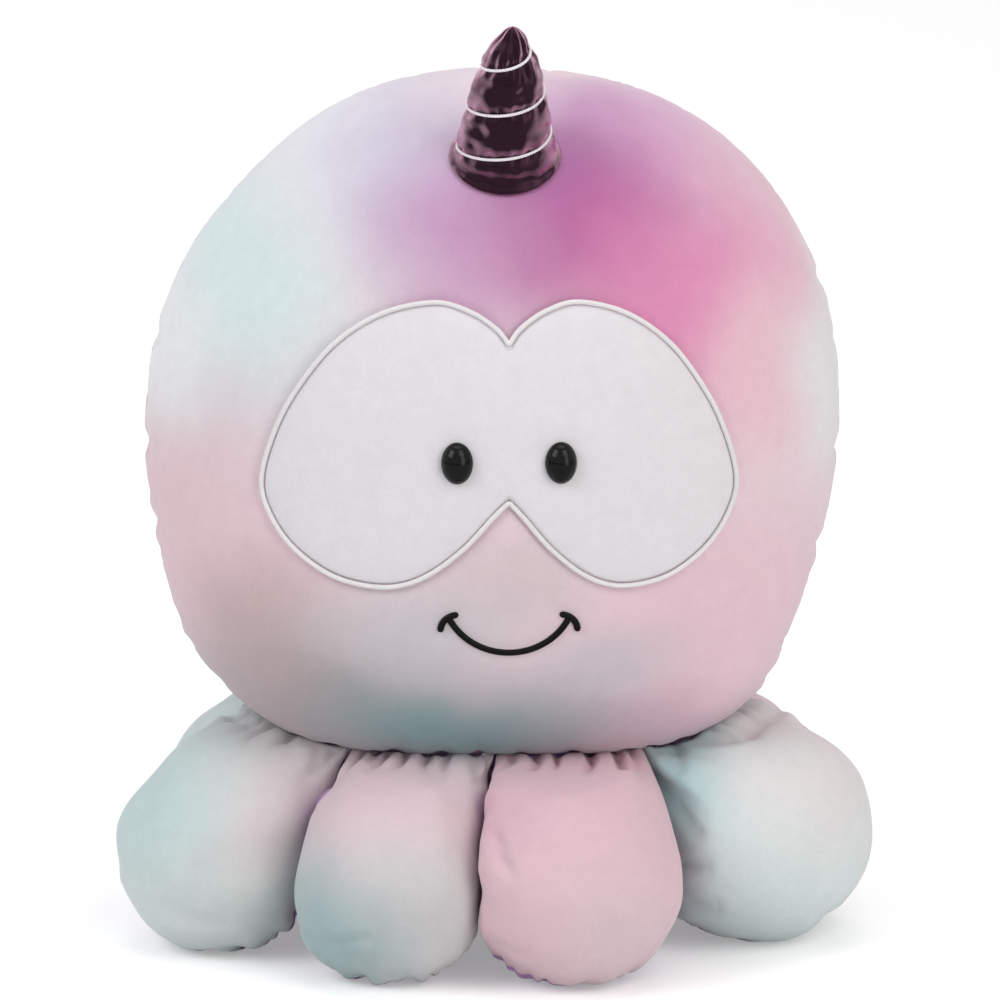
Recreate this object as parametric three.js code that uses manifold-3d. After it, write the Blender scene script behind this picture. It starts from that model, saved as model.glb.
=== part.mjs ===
// Plush octopus with a horn: a stuffed head on a ring of eight stuffed arms.
// Millimetres, +Z up. The face looks along -Y and the floor is z = 0.
// The arms are hinged at the seam that sews them to the head's underside.

import {
  BufferAttribute,
  BufferGeometry,
  CatmullRomCurve3,
  CylinderGeometry,
  ExtrudeGeometry,
  Group,
  LatheGeometry,
  MathUtils,
  Matrix4,
  Mesh,
  MeshStandardMaterial,
  Shape,
  SphereGeometry,
  Vector2,
  Vector3,
} from 'three';
import { mergeVertices } from 'three/addons/utils/BufferGeometryUtils.js';
import Module from 'manifold-3d';

const wasm = await Module();
wasm.setup();

// Cloth, and the gap that two pieces keep where they touch
const clothThickness = 2;
const gap = 0.3;
const weldDistance = 0.0001;
const searchSteps = 40;

// Head: a ball that is squashed wider and flatter towards its seat
const headWidth = 346;
const headDepth = 250;
const crownRise = 176;
const seatDrop = 160;
const seatHeight = 95;
const crownPower = 2.17;
const crownFlatness = 0.12;
const crownOnset = 4;
const seatPower = 4.2;
const seatOnset = 2.4;
const seamLean = MathUtils.degToRad(9);
const headSides = 24;
const headLevels = 12;

// Oval seam on the underside, where the arms and the base panel are sewn in
const baseSeamWidth = 242;
const baseSeamDepth = 136;
const baseSeamSides = 14;

// Face: everything is placed from the line down its middle
const faceMiddle = 7;
const patchLeftReach = 122;
const patchRightReach = 112;
const patchHeight = 144;
const patchMiddleHeight = 271.5;
const patchThickness = 1.5;
const borderWidth = 3;
const borderThickness = 2.3;
const patchSides = 32;

// Half of the patch's outline, from the upper notch round to the lower one:
// shares of the reach sideways, and of half the height upwards
const lobeShares = [
  [-0.05, 0.45],
  [0, 0.71],
  [0.06, 0.83],
  [0.17, 0.94],
  [0.31, 0.99],
  [0.52, 0.9],
  [0.71, 0.68],
  [0.86, 0.35],
  [0.95, 0.04],
  [1, -0.29],
  [0.97, -0.52],
  [0.88, -0.74],
  [0.74, -0.91],
  [0.6, -0.98],
  [0.46, -0.98],
  [0.33, -0.89],
  [0.19, -0.7],
  [0.07, -0.47],
  [0, -0.35],
  [-0.05, -0.1],
];

// Safety eyes: an oval dome on a shank, held by a washer behind the cloth
const eyeWidth = 16;
const eyeHeight = 21.5;
const eyeRise = 6;
const eyeSpacing = 51.5;
const eyeLevel = 265;
const shankWidth = 5;
const shankLength = 14;
const washerWidth = 18;
const washerThickness = 2;
const shankSides = 12;
const domeSides = 20;
const domeLevels = 10;

// Smile: one wide stroke with a short stroke across each end
const smileWidth = 58;
const smileDrop = 17;
const smileLevel = 181.5;
const strokeWidth = 3;
const strokeRise = 1.2;
const cornerRadius = 8.5;
const cornerDrop = 5;
const cornerInset = 3.5;
const cornerFrom = MathUtils.degToRad(87);
const cornerSweep = MathUtils.degToRad(99);
const strokeSides = 16;
const strokeEndSides = 4;

// Horn: a leaning stuffed cone, wider than deep, with a rolled rim, bound with a cord
const hornLength = 79;
const hornBaseWidth = 50;
const hornMiddleWidth = 37;
const hornTipWidth = 11;
const hornRimWidth = 56;
const hornRimHeight = 9;
const hornClothThickness = 1.5;
const hornAcross = 5;
const hornForwardShare = 0.548;
const hornDepthShare = 0.8;
const hornForwardLean = MathUtils.degToRad(20);
const hornSideLean = MathUtils.degToRad(3);
const hornSides = 24;
const hornTipLevels = 3;
const hornTuck = 16;
const cordWidth = 1.6;
const cordPitch = 24;
const cordStart = 4;
const cordStartTurn = MathUtils.degToRad(60);
const cordTurns = 2.75;
const cordSteps = 18;
const cordSides = 6;

// Arms: each swells from a flat gathered root to a round foot
const footWidth = 100;
const footFlat = 0.5;
const rootThickness = 12;
const rootTuck = 10;
const armTurnShare = 0.5;
const seamCutterGrowth = 6;
const armSpacing = 1;
const armLift = MathUtils.degToRad(25);
const liftGap = 1;
const slopeStep = 1;
const widthSwell = 2.6;
const thicknessSwell = 2.2;
const armSides = 10;
const neckLevels = 3;
const footLevels = 3;

// Where each arm is: its stretch of the seam in shares of a turn from the right,
// its foot's place in shares of the head's half width and half depth,
// and its foot's share of the foot width
const armShares = [
  { name: 'right_back', from: 0.03, to: 0.15, across: 0.717, back: 0.48, foot: 0.84 },
  { name: 'back_right', from: 0.15, to: 0.25, across: 0.289, back: 0.992, foot: 0.92 },
  { name: 'back_left', from: 0.25, to: 0.35, across: -0.231, back: 1.03, foot: 0.96 },
  { name: 'left_back', from: 0.35, to: 0.5, across: -0.717, back: 0.448, foot: 0.84 },
  { name: 'left_front', from: 0.5, to: 0.65, across: -0.806, back: -0.522, foot: 0.94 },
  { name: 'front_left', from: 0.65, to: 0.75, across: -0.3, back: -0.989, foot: 0.88 },
  { name: 'front_right', from: 0.75, to: 0.853, across: 0.211, back: -1.014, foot: 1 },
  { name: 'right_front', from: 0.853, to: 1.03, across: 0.754, back: -0.358, foot: 1.12 },
];

// Worked out from the sizes above
const halfWidth = headWidth / 2;
const halfDepth = headDepth / 2;
const headCentre = seatHeight + seatDrop;
const hornForward = halfDepth * hornForwardShare;
const linedGrowth = -clothThickness - gap;
const patchOuter = gap + patchThickness;
const fullTurn = 2 * Math.PI;

// Materials
function cloth(colour, roughness = 0.95, metalness = 0) {
  return new MeshStandardMaterial({ color: colour, roughness, metalness });
}
const lilacPlush = cloth('#c79bc4');
const pinkPlush = cloth('#dcbdc8');
const mintPlush = cloth('#c2d3d1');
const whitePlush = cloth('#e6e0e3', 0.9);
const whiteThread = cloth('#f1eef0', 0.6);
const blackThread = cloth('#17130f', 0.6);
const plumFoil = cloth('#4a2c3f', 0.35, 0.6);
const glossBlack = cloth('#0b0b0c', 0.12);
const washerPlastic = cloth('#ece9e2', 0.5);
const polyesterFill = cloth('#f6f5f1', 1);

// Solids

function toSolid(geometry) {
  const bare = geometry.clone();
  bare.deleteAttribute('normal');
  bare.deleteAttribute('uv');
  const merged = mergeVertices(bare, weldDistance);
  return new wasm.Manifold(
    new wasm.Mesh({
      numProp: 3,
      vertProperties: new Float32Array(merged.attributes.position.array),
      triVerts: new Uint32Array(merged.index.array),
    }),
  );
}

function toGeometry(solid) {
  const mesh = solid.getMesh();
  const geometry = new BufferGeometry();
  geometry.setAttribute('position', new BufferAttribute(new Float32Array(mesh.vertProperties), 3));
  geometry.setIndex(new BufferAttribute(new Uint32Array(mesh.triVerts), 1));
  geometry.computeVertexNormals();
  return geometry;
}

// Where two curved surfaces graze, a cut can leave crumbs beside the piece itself
function withoutCrumbs(solid) {
  const bodies = solid.decompose();
  return bodies.reduce((best, body) => (body.volume() > best.volume() ? body : best));
}

// A closed form of rings of points, with a single point before and after them
function ringedForm(startPoint, rings, endPoint) {
  const sides = rings[0].length;
  const points = [startPoint, ...rings.flat(), endPoint];
  const last = points.length - 1;
  const faces = [];
  for (let side = 0; side < sides; side += 1) {
    const next = (side + 1) % sides;
    faces.push(0, 1 + next, 1 + side);
    for (let ring = 0; ring < rings.length - 1; ring += 1) {
      const here = 1 + ring * sides;
      const there = here + sides;
      faces.push(here + side, here + next, there + next);
      faces.push(here + side, there + next, there + side);
    }
    const final = last - sides;
    faces.push(last, final + side, final + next);
  }
  const geometry = new BufferGeometry();
  const values = new Float32Array(points.flatMap((point) => point.toArray()));
  geometry.setAttribute('position', new BufferAttribute(values, 3));
  geometry.setIndex(faces);
  return geometry;
}

// An outline in X and Z, pushed forwards from the head's middle plane
function faceCutter(outline) {
  const geometry = new ExtrudeGeometry(new Shape(outline), {
    depth: headDepth,
    bevelEnabled: false,
  });
  geometry.rotateX(Math.PI / 2);
  return toSolid(geometry);
}

// Head

// The rule of the head's outline: 1 on the surface, in shares of its half sizes.
// The form turns squarer towards its seat, and a little towards the top.
function powerAt(upwards) {
  if (upwards > 0) return crownPower + crownFlatness * upwards ** crownOnset;
  return crownPower + (seatPower - crownPower) * (-upwards) ** seatOnset;
}

function powerSum(share, upwards) {
  const power = powerAt(upwards);
  return Math.abs(share.x) ** power + Math.abs(share.y) ** power + Math.abs(share.z) ** power;
}

function headPoint(direction, growth) {
  const reach = powerSum(direction, direction.z) ** (-1 / powerAt(direction.z));
  const rise = direction.z > 0 ? crownRise : seatDrop;
  return new Vector3(
    (halfWidth + growth) * direction.x * reach,
    (halfDepth + growth) * direction.y * reach,
    headCentre + (rise + growth) * direction.z * reach,
  );
}

// The head's form, larger or smaller all round by the growth
function headForm(growth) {
  const rings = [];
  for (let level = 1; level < headLevels; level += 1) {
    const latitude = -Math.PI / 2 + (Math.PI * level) / headLevels;
    const ring = [];
    for (let side = 0; side < headSides; side += 1) {
      const turn = (fullTurn * side) / headSides;
      const direction = new Vector3(
        Math.cos(latitude) * Math.sin(turn),
        Math.sin(latitude),
        Math.cos(latitude) * Math.cos(turn),
      );
      ring.push(headPoint(direction, growth));
    }
    rings.push(ring);
  }
  const front = headPoint(new Vector3(0, -1, 0), growth);
  const back = headPoint(new Vector3(0, 1, 0), growth);
  return toSolid(ringedForm(front, rings, back));
}

// How far from the head's centre its surface lies along one axis,
// at a place that is given from the centre along the other two
function headReach(place, axis, sign) {
  const trial = place.clone();
  trial[axis] = sign;
  const sizes = new Vector3(halfWidth, halfDepth, trial.z > 0 ? crownRise : seatDrop);
  const share = place.clone().divide(sizes);
  let inside = 0;
  let outside = 1;
  for (let step = 0; step < searchSteps; step += 1) {
    share[axis] = (sign * (inside + outside)) / 2;
    const upwards = share.clone().normalize().z;
    if (share.length() > 0 && powerSum(share, upwards) > 1) outside = (inside + outside) / 2;
    else inside = (inside + outside) / 2;
  }
  return sign * inside * sizes[axis];
}

function undersideHeight(x, y) {
  return headCentre + headReach(new Vector3(x, y, 0), 'z', -1);
}

function crownHeight(x, y) {
  return headCentre + headReach(new Vector3(x, y, 0), 'z', 1);
}

function faceDepth(x, z) {
  return headReach(new Vector3(x, 0, z - headCentre), 'y', -1);
}

function seamPlan(turnShare, growth) {
  const turn = fullTurn * turnShare;
  return new Vector2(
    (baseSeamWidth / 2 + growth) * Math.cos(turn),
    (baseSeamDepth / 2 + growth) * Math.sin(turn),
  );
}

// An upright oval column that stands on the base seam
function seamColumn(growth) {
  const outline = [];
  for (let side = 0; side < baseSeamSides; side += 1) {
    outline.push(seamPlan(side / baseSeamSides, growth));
  }
  return toSolid(new ExtrudeGeometry(new Shape(outline), { depth: headCentre, bevelEnabled: false }));
}

const headCloth = headForm(0).subtract(headForm(-clothThickness));
const headClear = headForm(gap);
const basePanel = headCloth.intersect(seamColumn(-gap / 2));
const wholeSides = headCloth.subtract(seamColumn(gap / 2));

// The side seam lies in a plane through the head's centre that leans back on its way up
const seamBack = new Vector3(0, Math.cos(seamLean), -Math.sin(seamLean));
const seamOffset = headCentre * seamBack.z;
const backPanel = wholeSides.trimByPlane(seamBack.toArray(), gap / 2 + seamOffset);

// A layer that lies on the head's front, within an area of it
function faceLayer(area, thickness) {
  return headForm(gap + thickness).subtract(headClear).intersect(area);
}

// Eyes

// A round bar along the head's depth, at the eyes' level
function eyeBar(x, width, from, to) {
  const geometry = new CylinderGeometry(width / 2, width / 2, to - from, shankSides);
  geometry.translate(x, (from + to) / 2, eyeLevel);
  return toSolid(geometry);
}

function makeEye(name, x) {
  const clothFront = faceDepth(x, eyeLevel);
  const patchFront = clothFront - patchOuter;
  const shankEnd = clothFront + shankLength;
  const washerEnd = clothFront + clothThickness + gap + washerThickness;
  const dome = new SphereGeometry(1, domeSides, domeLevels);
  dome.scale(eyeWidth / 2, eyeRise, eyeHeight / 2);
  dome.translate(x, patchFront - gap, eyeLevel);
  const shank = eyeBar(x, shankWidth, patchFront - eyeRise / 2, shankEnd);
  const hole = eyeBar(x, shankWidth + gap * 2, patchFront - eyeRise, shankEnd + gap);
  const washer = eyeBar(x, washerWidth, patchFront, washerEnd);
  return {
    name,
    hole,
    pocket: eyeBar(x, washerWidth + gap * 2, patchFront, washerEnd + gap).add(hole),
    solid: toSolid(dome).subtract(headForm(patchOuter + gap)).add(shank),
    washer: washer.intersect(headForm(linedGrowth)).subtract(hole),
  };
}

const eyes = [
  makeEye('left_eye', faceMiddle - eyeSpacing / 2),
  makeEye('right_eye', faceMiddle + eyeSpacing / 2),
];

// Eye patch: two joined lobes in one piece of cloth, with a corded border

function lobeOutline(side, reach, growth) {
  const points = lobeShares.map(
    ([across, up]) =>
      new Vector3(faceMiddle + side * reach * across, patchMiddleHeight + (patchHeight / 2) * up, 0),
  );
  const curve = new CatmullRomCurve3(points, true, 'centripetal');
  const outline = [];
  for (let step = 0; step < patchSides; step += 1) {
    const point = curve.getPointAt(step / patchSides);
    const along = curve.getTangentAt(step / patchSides);
    outline.push(
      new Vector2(point.x - side * growth * along.y, point.y + side * growth * along.x),
    );
  }
  return outline;
}

function patchArea(growth) {
  const left = faceCutter(lobeOutline(-1, patchLeftReach, growth));
  const right = faceCutter(lobeOutline(1, patchRightReach, growth));
  return left.add(right);
}

const wholePatch = faceLayer(patchArea(0), patchThickness);
const patchBorder = faceLayer(patchArea(borderWidth).subtract(patchArea(gap)), borderThickness);

// Smile

function addArc(outline, centre, radius, from, to, sides) {
  for (let step = 0; step < sides; step += 1) {
    const angle = from + ((to - from) * step) / sides;
    const x = centre.x + radius * Math.cos(angle);
    outline.push(new Vector2(x, centre.y + radius * Math.sin(angle)));
  }
}

// A stroke with round ends along an arc
function arcStroke(centre, radius, from, to) {
  const half = strokeWidth / 2;
  const start = new Vector2(Math.cos(from), Math.sin(from)).multiplyScalar(radius).add(centre);
  const end = new Vector2(Math.cos(to), Math.sin(to)).multiplyScalar(radius).add(centre);
  const outline = [];
  addArc(outline, centre, radius + half, from, to, strokeSides);
  addArc(outline, end, half, to, to + Math.PI, strokeEndSides);
  addArc(outline, centre, radius - half, to, from, strokeSides);
  addArc(outline, start, half, from + Math.PI, from + fullTurn, strokeEndSides);
  return faceCutter(outline);
}

function makeSmile() {
  const half = smileWidth / 2;
  const radius = (half ** 2 + smileDrop ** 2) / (smileDrop * 2);
  const sweep = Math.asin(half / radius);
  const down = -Math.PI / 2;
  const centre = new Vector2(faceMiddle, smileLevel - smileDrop + radius);
  const leftCorner = new Vector2(faceMiddle - half + cornerInset, smileLevel - cornerDrop);
  const rightCorner = new Vector2(faceMiddle + half - cornerInset, smileLevel - cornerDrop);
  const rightFrom = Math.PI - cornerFrom - cornerSweep;
  const strokes = arcStroke(centre, radius, down - sweep, down + sweep)
    .add(arcStroke(leftCorner, cornerRadius, cornerFrom, cornerFrom + cornerSweep))
    .add(arcStroke(rightCorner, cornerRadius, rightFrom, rightFrom + cornerSweep));
  return faceLayer(strokes, strokeRise);
}

// Horn

const hornPlace = new Matrix4()
  .makeTranslation(hornAcross, -hornForward, crownHeight(hornAcross, -hornForward))
  .multiply(new Matrix4().makeRotationY(hornSideLean))
  .multiply(new Matrix4().makeRotationX(hornForwardLean));

// The cover's half width at heights up the horn: straight lines between these
const hornProfile = [
  { height: -hornTuck, radius: hornRimWidth / 2 },
  { height: hornRimHeight / 3, radius: hornRimWidth / 2 },
  { height: hornRimHeight, radius: hornBaseWidth / 2 },
  { height: hornLength / 2, radius: hornMiddleWidth / 2 },
  { height: hornLength - hornTipWidth / 2, radius: hornTipWidth / 2 },
];

function hornForm(growth) {
  const low = new Vector2(0, -hornTuck + growth);
  const edge = new Vector2(hornProfile[0].radius + growth, -hornTuck + growth);
  const side = hornProfile.slice(1).map(({ height, radius }) => new Vector2(radius + growth, height));
  const tip = [];
  for (let level = 1; level <= hornTipLevels; level += 1) {
    const angle = (Math.PI / 2) * (level / hornTipLevels);
    const radius = hornTipWidth / 2 + growth;
    const height = hornLength - hornTipWidth / 2 + radius * Math.sin(angle);
    tip.push(new Vector2(level < hornTipLevels ? radius * Math.cos(angle) : 0, height));
  }
  const geometry = new LatheGeometry([low, edge, ...side, ...tip], hornSides);
  geometry.rotateX(Math.PI / 2);
  geometry.scale(1, hornDepthShare, 1);
  geometry.applyMatrix4(hornPlace);
  return toSolid(geometry);
}

function hornHalfWidth(height) {
  const above = hornProfile.findIndex((place, index) => index > 0 && place.height >= height);
  const upper = hornProfile[above < 0 ? hornProfile.length - 1 : above];
  const lower = hornProfile[above < 0 ? hornProfile.length - 2 : above - 1];
  const share = (height - lower.height) / (upper.height - lower.height);
  return MathUtils.lerp(lower.radius, upper.radius, share);
}

// The cord's path up the horn, from beside the back of its rim, with straight ends
function cordPath() {
  const points = [];
  const steps = Math.round(cordTurns * cordSteps);
  const lift = (cordWidth / 2 + gap) / Math.cos(Math.atan2(hornRimWidth - hornBaseWidth, hornRimHeight));
  for (let step = 0; step <= steps; step += 1) {
    const turn = fullTurn * (step / cordSteps) + Math.PI + cordStartTurn;
    const height = cordStart + (cordPitch * step) / cordSteps;
    const across = hornHalfWidth(height) + lift;
    const back = hornHalfWidth(height) * hornDepthShare + lift;
    points.push(new Vector3(across * Math.sin(turn), -back * Math.cos(turn), height));
  }
  const [first, second] = points;
  const [beforeLast, last] = points.slice(-2);
  points.unshift(first.clone().add(first.clone().sub(second).setLength(cordWidth)));
  points.push(last.clone().add(last.clone().sub(beforeLast).setLength(cordWidth)));
  return points;
}

// A round tube along a path, its section turned with the horn's axis
function cordForm(path) {
  const axis = new Vector3(0, 0, 1);
  const rings = path.map((point, index) => {
    const before = path[Math.max(index - 1, 0)];
    const after = path[Math.min(index + 1, path.length - 1)];
    const along = after.clone().sub(before).normalize();
    const outwards = along.clone().cross(axis).normalize();
    const upwards = along.clone().cross(outwards);
    const ring = [];
    for (let side = 0; side < cordSides; side += 1) {
      const angle = (fullTurn * side) / cordSides;
      ring.push(
        point
          .clone()
          .addScaledVector(outwards, (cordWidth / 2) * Math.cos(angle))
          .addScaledVector(upwards, (cordWidth / 2) * Math.sin(angle)),
      );
    }
    return ring;
  });
  const geometry = ringedForm(path[0], rings, path[path.length - 1]);
  geometry.applyMatrix4(hornPlace);
  return toSolid(geometry);
}

// The least space between parts of the cord that are half a turn or more apart
function leastGap(path) {
  let least = Infinity;
  for (let from = 0; from < path.length; from += 1) {
    for (let to = from + cordSteps / 2; to < path.length; to += 1) {
      least = Math.min(least, path[from].distanceTo(path[to]) - cordWidth);
    }
  }
  return least;
}

const hornCordPath = cordPath();
console.log(`horn cord: least gap to itself ${leastGap(hornCordPath).toFixed(2)} mm`);

// Arms

function seamPoint(turnShare, growth) {
  const plan = seamPlan(turnShare, growth);
  return new Vector3(plan.x, plan.y, undersideHeight(plan.x, plan.y));
}

// Everything that an arm's pieces are made from: its root, foot and directions
function layOutArm(share, footDrop) {
  const radius = (footWidth * share.foot) / 2;
  const root = seamPoint((share.from + share.to) / 2, 0);
  const foot = new Vector3(halfWidth * share.across, halfDepth * share.back, radius - footDrop);
  const along = foot.clone().sub(root).normalize();
  const wide = seamPoint(share.to, 0).sub(seamPoint(share.from, 0));
  const halfSpan = wide.length() / 2;
  wide.addScaledVector(along, -wide.dot(along)).normalize();
  return { ...share, radius, root, foot, along, wide, halfSpan, thick: along.clone().cross(wide) };
}

// An arm whose faceted foot reaches just below the floor, where it is cut flat
function standArm(share) {
  const lowest = armForm(layOutArm(share, 0), 0).boundingBox().min[2];
  return layOutArm(share, lowest + footFlat);
}

const arms = armShares.map(standArm);

// An arm's form, larger or smaller all round by the growth. It goes no further
// inwards than the floor, which is measured from the surface through its side seams.
function armForm(arm, growth, floor = -Infinity) {
  const radius = arm.radius + growth;
  const rootHalf = rootThickness / 2 + growth;
  const spread = (arm.halfSpan + growth - armSpacing / 2) / arm.halfSpan;
  const start = arm.root.clone().add(new Vector3(0, 0, rootTuck));
  const end = arm.foot.clone().addScaledVector(arm.along, radius);

  function ringOf(centre, seamShare, wideSize, thickSize) {
    const ring = [];
    for (let side = 0; side < armSides; side += 1) {
      const turn = (fullTurn * (side + armTurnShare)) / armSides;
      const across = Math.cos(turn);
      const seamTurn = MathUtils.lerp(arm.from, arm.to, (1 + across * spread) / 2);
      const seam = seamPoint(seamTurn, 0).sub(arm.root);
      ring.push(
        centre
          .clone()
          .addScaledVector(seam, seamShare)
          .addScaledVector(arm.wide, across * wideSize)
          .addScaledVector(arm.thick, Math.max(Math.sin(turn) * thickSize, floor)),
      );
    }
    return ring;
  }

  const rings = [ringOf(start, 1, 0, rootHalf)];
  for (let level = 0; level <= neckLevels; level += 1) {
    const share = level / neckLevels;
    const widened = 1 - (1 - share) ** widthSwell;
    const thickened = 1 - (1 - share) ** thicknessSwell;
    const centre = arm.root.clone().lerp(arm.foot, share);
    const thickSize = MathUtils.lerp(rootHalf, radius, thickened);
    rings.push(ringOf(centre, 1 - widened, radius * widened, thickSize));
  }
  for (let level = 1; level < footLevels; level += 1) {
    const angle = (Math.PI / 2) * (level / footLevels);
    const centre = arm.foot.clone().addScaledVector(arm.along, radius * Math.sin(angle));
    rings.push(ringOf(centre, 0, radius * Math.cos(angle), radius * Math.cos(angle)));
  }
  return toSolid(ringedForm(start, rings, end));
}

// The upright plane where two neighbours are pressed together, facing the later one.
// It starts at the seam between their roots, and leans from straight outwards
// towards the middle of the space between their feet.
function pressedPlane(earlier, later) {
  const seam = seamPlan(earlier.to, 0);
  const between = new Vector2(later.foot.x - earlier.foot.x, later.foot.y - earlier.foot.y);
  const reach = (between.length() + earlier.radius - later.radius) / 2;
  between.normalize();
  const middle = new Vector2(earlier.foot.x, earlier.foot.y).addScaledVector(between, reach);
  const outwards = new Vector2(between.y, -between.x).multiplyScalar(footWidth / 2);
  const line = middle.sub(seam).add(outwards);
  const normal = new Vector3(-line.y, line.x, 0).normalize();
  return { normal, offset: normal.x * seam.x + normal.y * seam.y };
}

function pressArm(solid, index, growth) {
  const inset = armSpacing / 2 - growth;
  const before = pressedPlane(arms[(index + arms.length - 1) % arms.length], arms[index]);
  const after = pressedPlane(arms[index], arms[(index + 1) % arms.length]);
  return solid
    .trimByPlane(before.normal.toArray(), before.offset + inset)
    .trimByPlane(after.normal.clone().negate().toArray(), inset - after.offset);
}

// An arm's hinge line: at the outer edge of its root, square to the way that it leans
function hingeOf(arm) {
  const outwards = new Vector3(arm.foot.x - arm.root.x, arm.foot.y - arm.root.y, 0).normalize();
  const place = arm.root.clone().addScaledVector(outwards, rootThickness / 2);
  place.z = undersideHeight(place.x, place.y);
  return { place, outwards, turn: Math.atan2(-outwards.x, outwards.y) };
}

// The space outside an arm's hinge line that the arm leaves free, so that it
// clears the head when it is lifted all the way. The head rises above a plane
// that touches it at the hinge, so the arm stays its lift and a small gap below
// that plane.
function liftSpace(arm, growth) {
  const { place, outwards, turn } = hingeOf(arm);
  const further = place.clone().addScaledVector(outwards, slopeStep);
  const rise = undersideHeight(further.x, further.y) - place.z;
  const slope = Math.atan2(rise, slopeStep) - armLift;
  const corner = new Vector2(growth, growth - liftGap);
  const outer = new Vector2(Math.cos(slope), Math.sin(slope)).multiplyScalar(headWidth).add(corner);
  const upper = new Vector2(corner.x, corner.y + headWidth);
  const geometry = new ExtrudeGeometry(new Shape([corner, outer, upper]), {
    depth: headWidth,
    bevelEnabled: false,
  });
  geometry.translate(0, 0, -headWidth / 2);
  geometry.rotateX(Math.PI / 2);
  geometry.rotateZ(Math.PI / 2 + turn);
  geometry.translate(place.x, place.y, place.z);
  return toSolid(geometry);
}

function makeArm(arm, index) {
  function cutToFit(growth) {
    return pressArm(armForm(arm, growth), index, growth).subtract(liftSpace(arm, growth));
  }
  const outside = cutToFit(0).trimByPlane([0, 0, 1], 0);
  const sleeve = withoutCrumbs(outside.subtract(cutToFit(-clothThickness)).subtract(headClear));
  const stuffing = cutToFit(linedGrowth);
  return {
    outerPanel: withoutCrumbs(sleeve.intersect(armForm(arm, seamCutterGrowth, gap / 2))),
    innerPanel: withoutCrumbs(sleeve.subtract(armForm(arm, seamCutterGrowth, -gap / 2))),
    stuffing: withoutCrumbs(stuffing.subtract(headClear)),
  };
}

// The toy

const octopus = new Group();

function addPiece(name, solid, material, group = octopus) {
  const geometry = toGeometry(solid);
  geometry.translate(-group.position.x, -group.position.y, -group.position.z);
  geometry.rotateZ(-group.rotation.z);
  const piece = new Mesh(geometry, material);
  piece.name = name;
  group.add(piece);
}

let frontPanel = wholeSides.trimByPlane(seamBack.clone().negate().toArray(), gap / 2 - seamOffset);
let headStuffing = headForm(linedGrowth);
let eyePatch = wholePatch;
for (const eye of eyes) {
  frontPanel = frontPanel.subtract(eye.hole);
  eyePatch = eyePatch.subtract(eye.hole);
  headStuffing = headStuffing.subtract(eye.pocket);
  addPiece(eye.name, eye.solid, glossBlack);
  addPiece(`${eye.name}_washer`, eye.washer, washerPlastic);
}
addPiece('head_front_panel', frontPanel, pinkPlush);
addPiece('head_back_panel', backPanel, lilacPlush);
addPiece('base_panel', basePanel, lilacPlush);
addPiece('head_stuffing', headStuffing, polyesterFill);
addPiece('eye_patch', eyePatch, whitePlush);
addPiece('eye_patch_border', patchBorder, whiteThread);
addPiece('smile_stitching', makeSmile(), blackThread);

const hornLining = hornForm(-hornClothThickness);
addPiece('horn_cover', hornForm(0).subtract(hornLining).subtract(headClear), plumFoil);
addPiece('horn_stuffing', hornForm(-hornClothThickness - gap).subtract(headClear), polyesterFill);
addPiece('horn_cord', cordForm(hornCordPath), whiteThread);

for (const [index, arm] of arms.entries()) {
  const pieces = makeArm(arm, index);
  const hinge = hingeOf(arm);
  const group = new Group();
  group.position.copy(hinge.place);
  group.rotation.z = hinge.turn;
  octopus.add(group);
  addPiece(`${arm.name}_arm_outer_panel`, pieces.outerPanel, mintPlush, group);
  addPiece(`${arm.name}_arm_inner_panel`, pieces.innerPanel, lilacPlush, group);
  addPiece(`${arm.name}_arm_stuffing`, pieces.stuffing, polyesterFill, group);
}

export default octopus;
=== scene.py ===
"""Plush octopus with a horn, sewn from velour and dyed in soft clouds of colour.

Everything is in metres, +Z up, in the frame's own place: the face looks along -Y.
"""

import math
import random

import bmesh
import bpy
import numpy as np
from bpy.props import FloatProperty, FloatVectorProperty, IntProperty, PointerProperty
from bpy.types import Operator, Panel, PropertyGroup
from mathutils import Matrix, Vector


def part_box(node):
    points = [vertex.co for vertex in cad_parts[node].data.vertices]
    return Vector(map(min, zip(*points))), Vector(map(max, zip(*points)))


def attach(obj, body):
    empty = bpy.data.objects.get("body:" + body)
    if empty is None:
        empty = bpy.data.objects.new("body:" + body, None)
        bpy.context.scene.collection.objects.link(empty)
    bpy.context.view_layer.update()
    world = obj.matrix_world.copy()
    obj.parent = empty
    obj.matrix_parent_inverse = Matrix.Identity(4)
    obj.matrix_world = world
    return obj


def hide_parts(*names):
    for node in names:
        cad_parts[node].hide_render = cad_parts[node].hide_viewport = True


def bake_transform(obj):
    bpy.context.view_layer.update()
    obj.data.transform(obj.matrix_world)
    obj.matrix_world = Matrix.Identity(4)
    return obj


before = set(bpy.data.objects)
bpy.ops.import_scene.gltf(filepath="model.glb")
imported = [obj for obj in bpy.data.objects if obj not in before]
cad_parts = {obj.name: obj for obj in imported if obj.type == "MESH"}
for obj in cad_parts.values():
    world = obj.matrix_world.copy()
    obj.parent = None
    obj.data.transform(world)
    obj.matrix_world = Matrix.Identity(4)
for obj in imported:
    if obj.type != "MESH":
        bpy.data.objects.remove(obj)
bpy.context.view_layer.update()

bl_info = {
    "name": "Plush Octopus",
    "version": (1, 0, 0),
    "blender": (4, 5, 0),
    "location": "View3D > Sidebar > Plush Octopus",
    "description": "Sews a stuffed octopus with a horn around its frame",
    "category": "Add Mesh",
}

MM = 0.001
TINY = 1e-9
# Halvings of a search between two bounds
SEARCH_STEPS = 40


def corner(node, end, axis):
    """One coordinate of a node's lowest (0) or highest (1) corner."""
    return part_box(node)[end]["xyz".index(axis)]


def middle(node, axis):
    return (corner(node, 0, axis) + corner(node, 1, axis)) / 2


def span(node, axis):
    return corner(node, 1, axis) - corner(node, 0, axis)


# Colours

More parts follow.
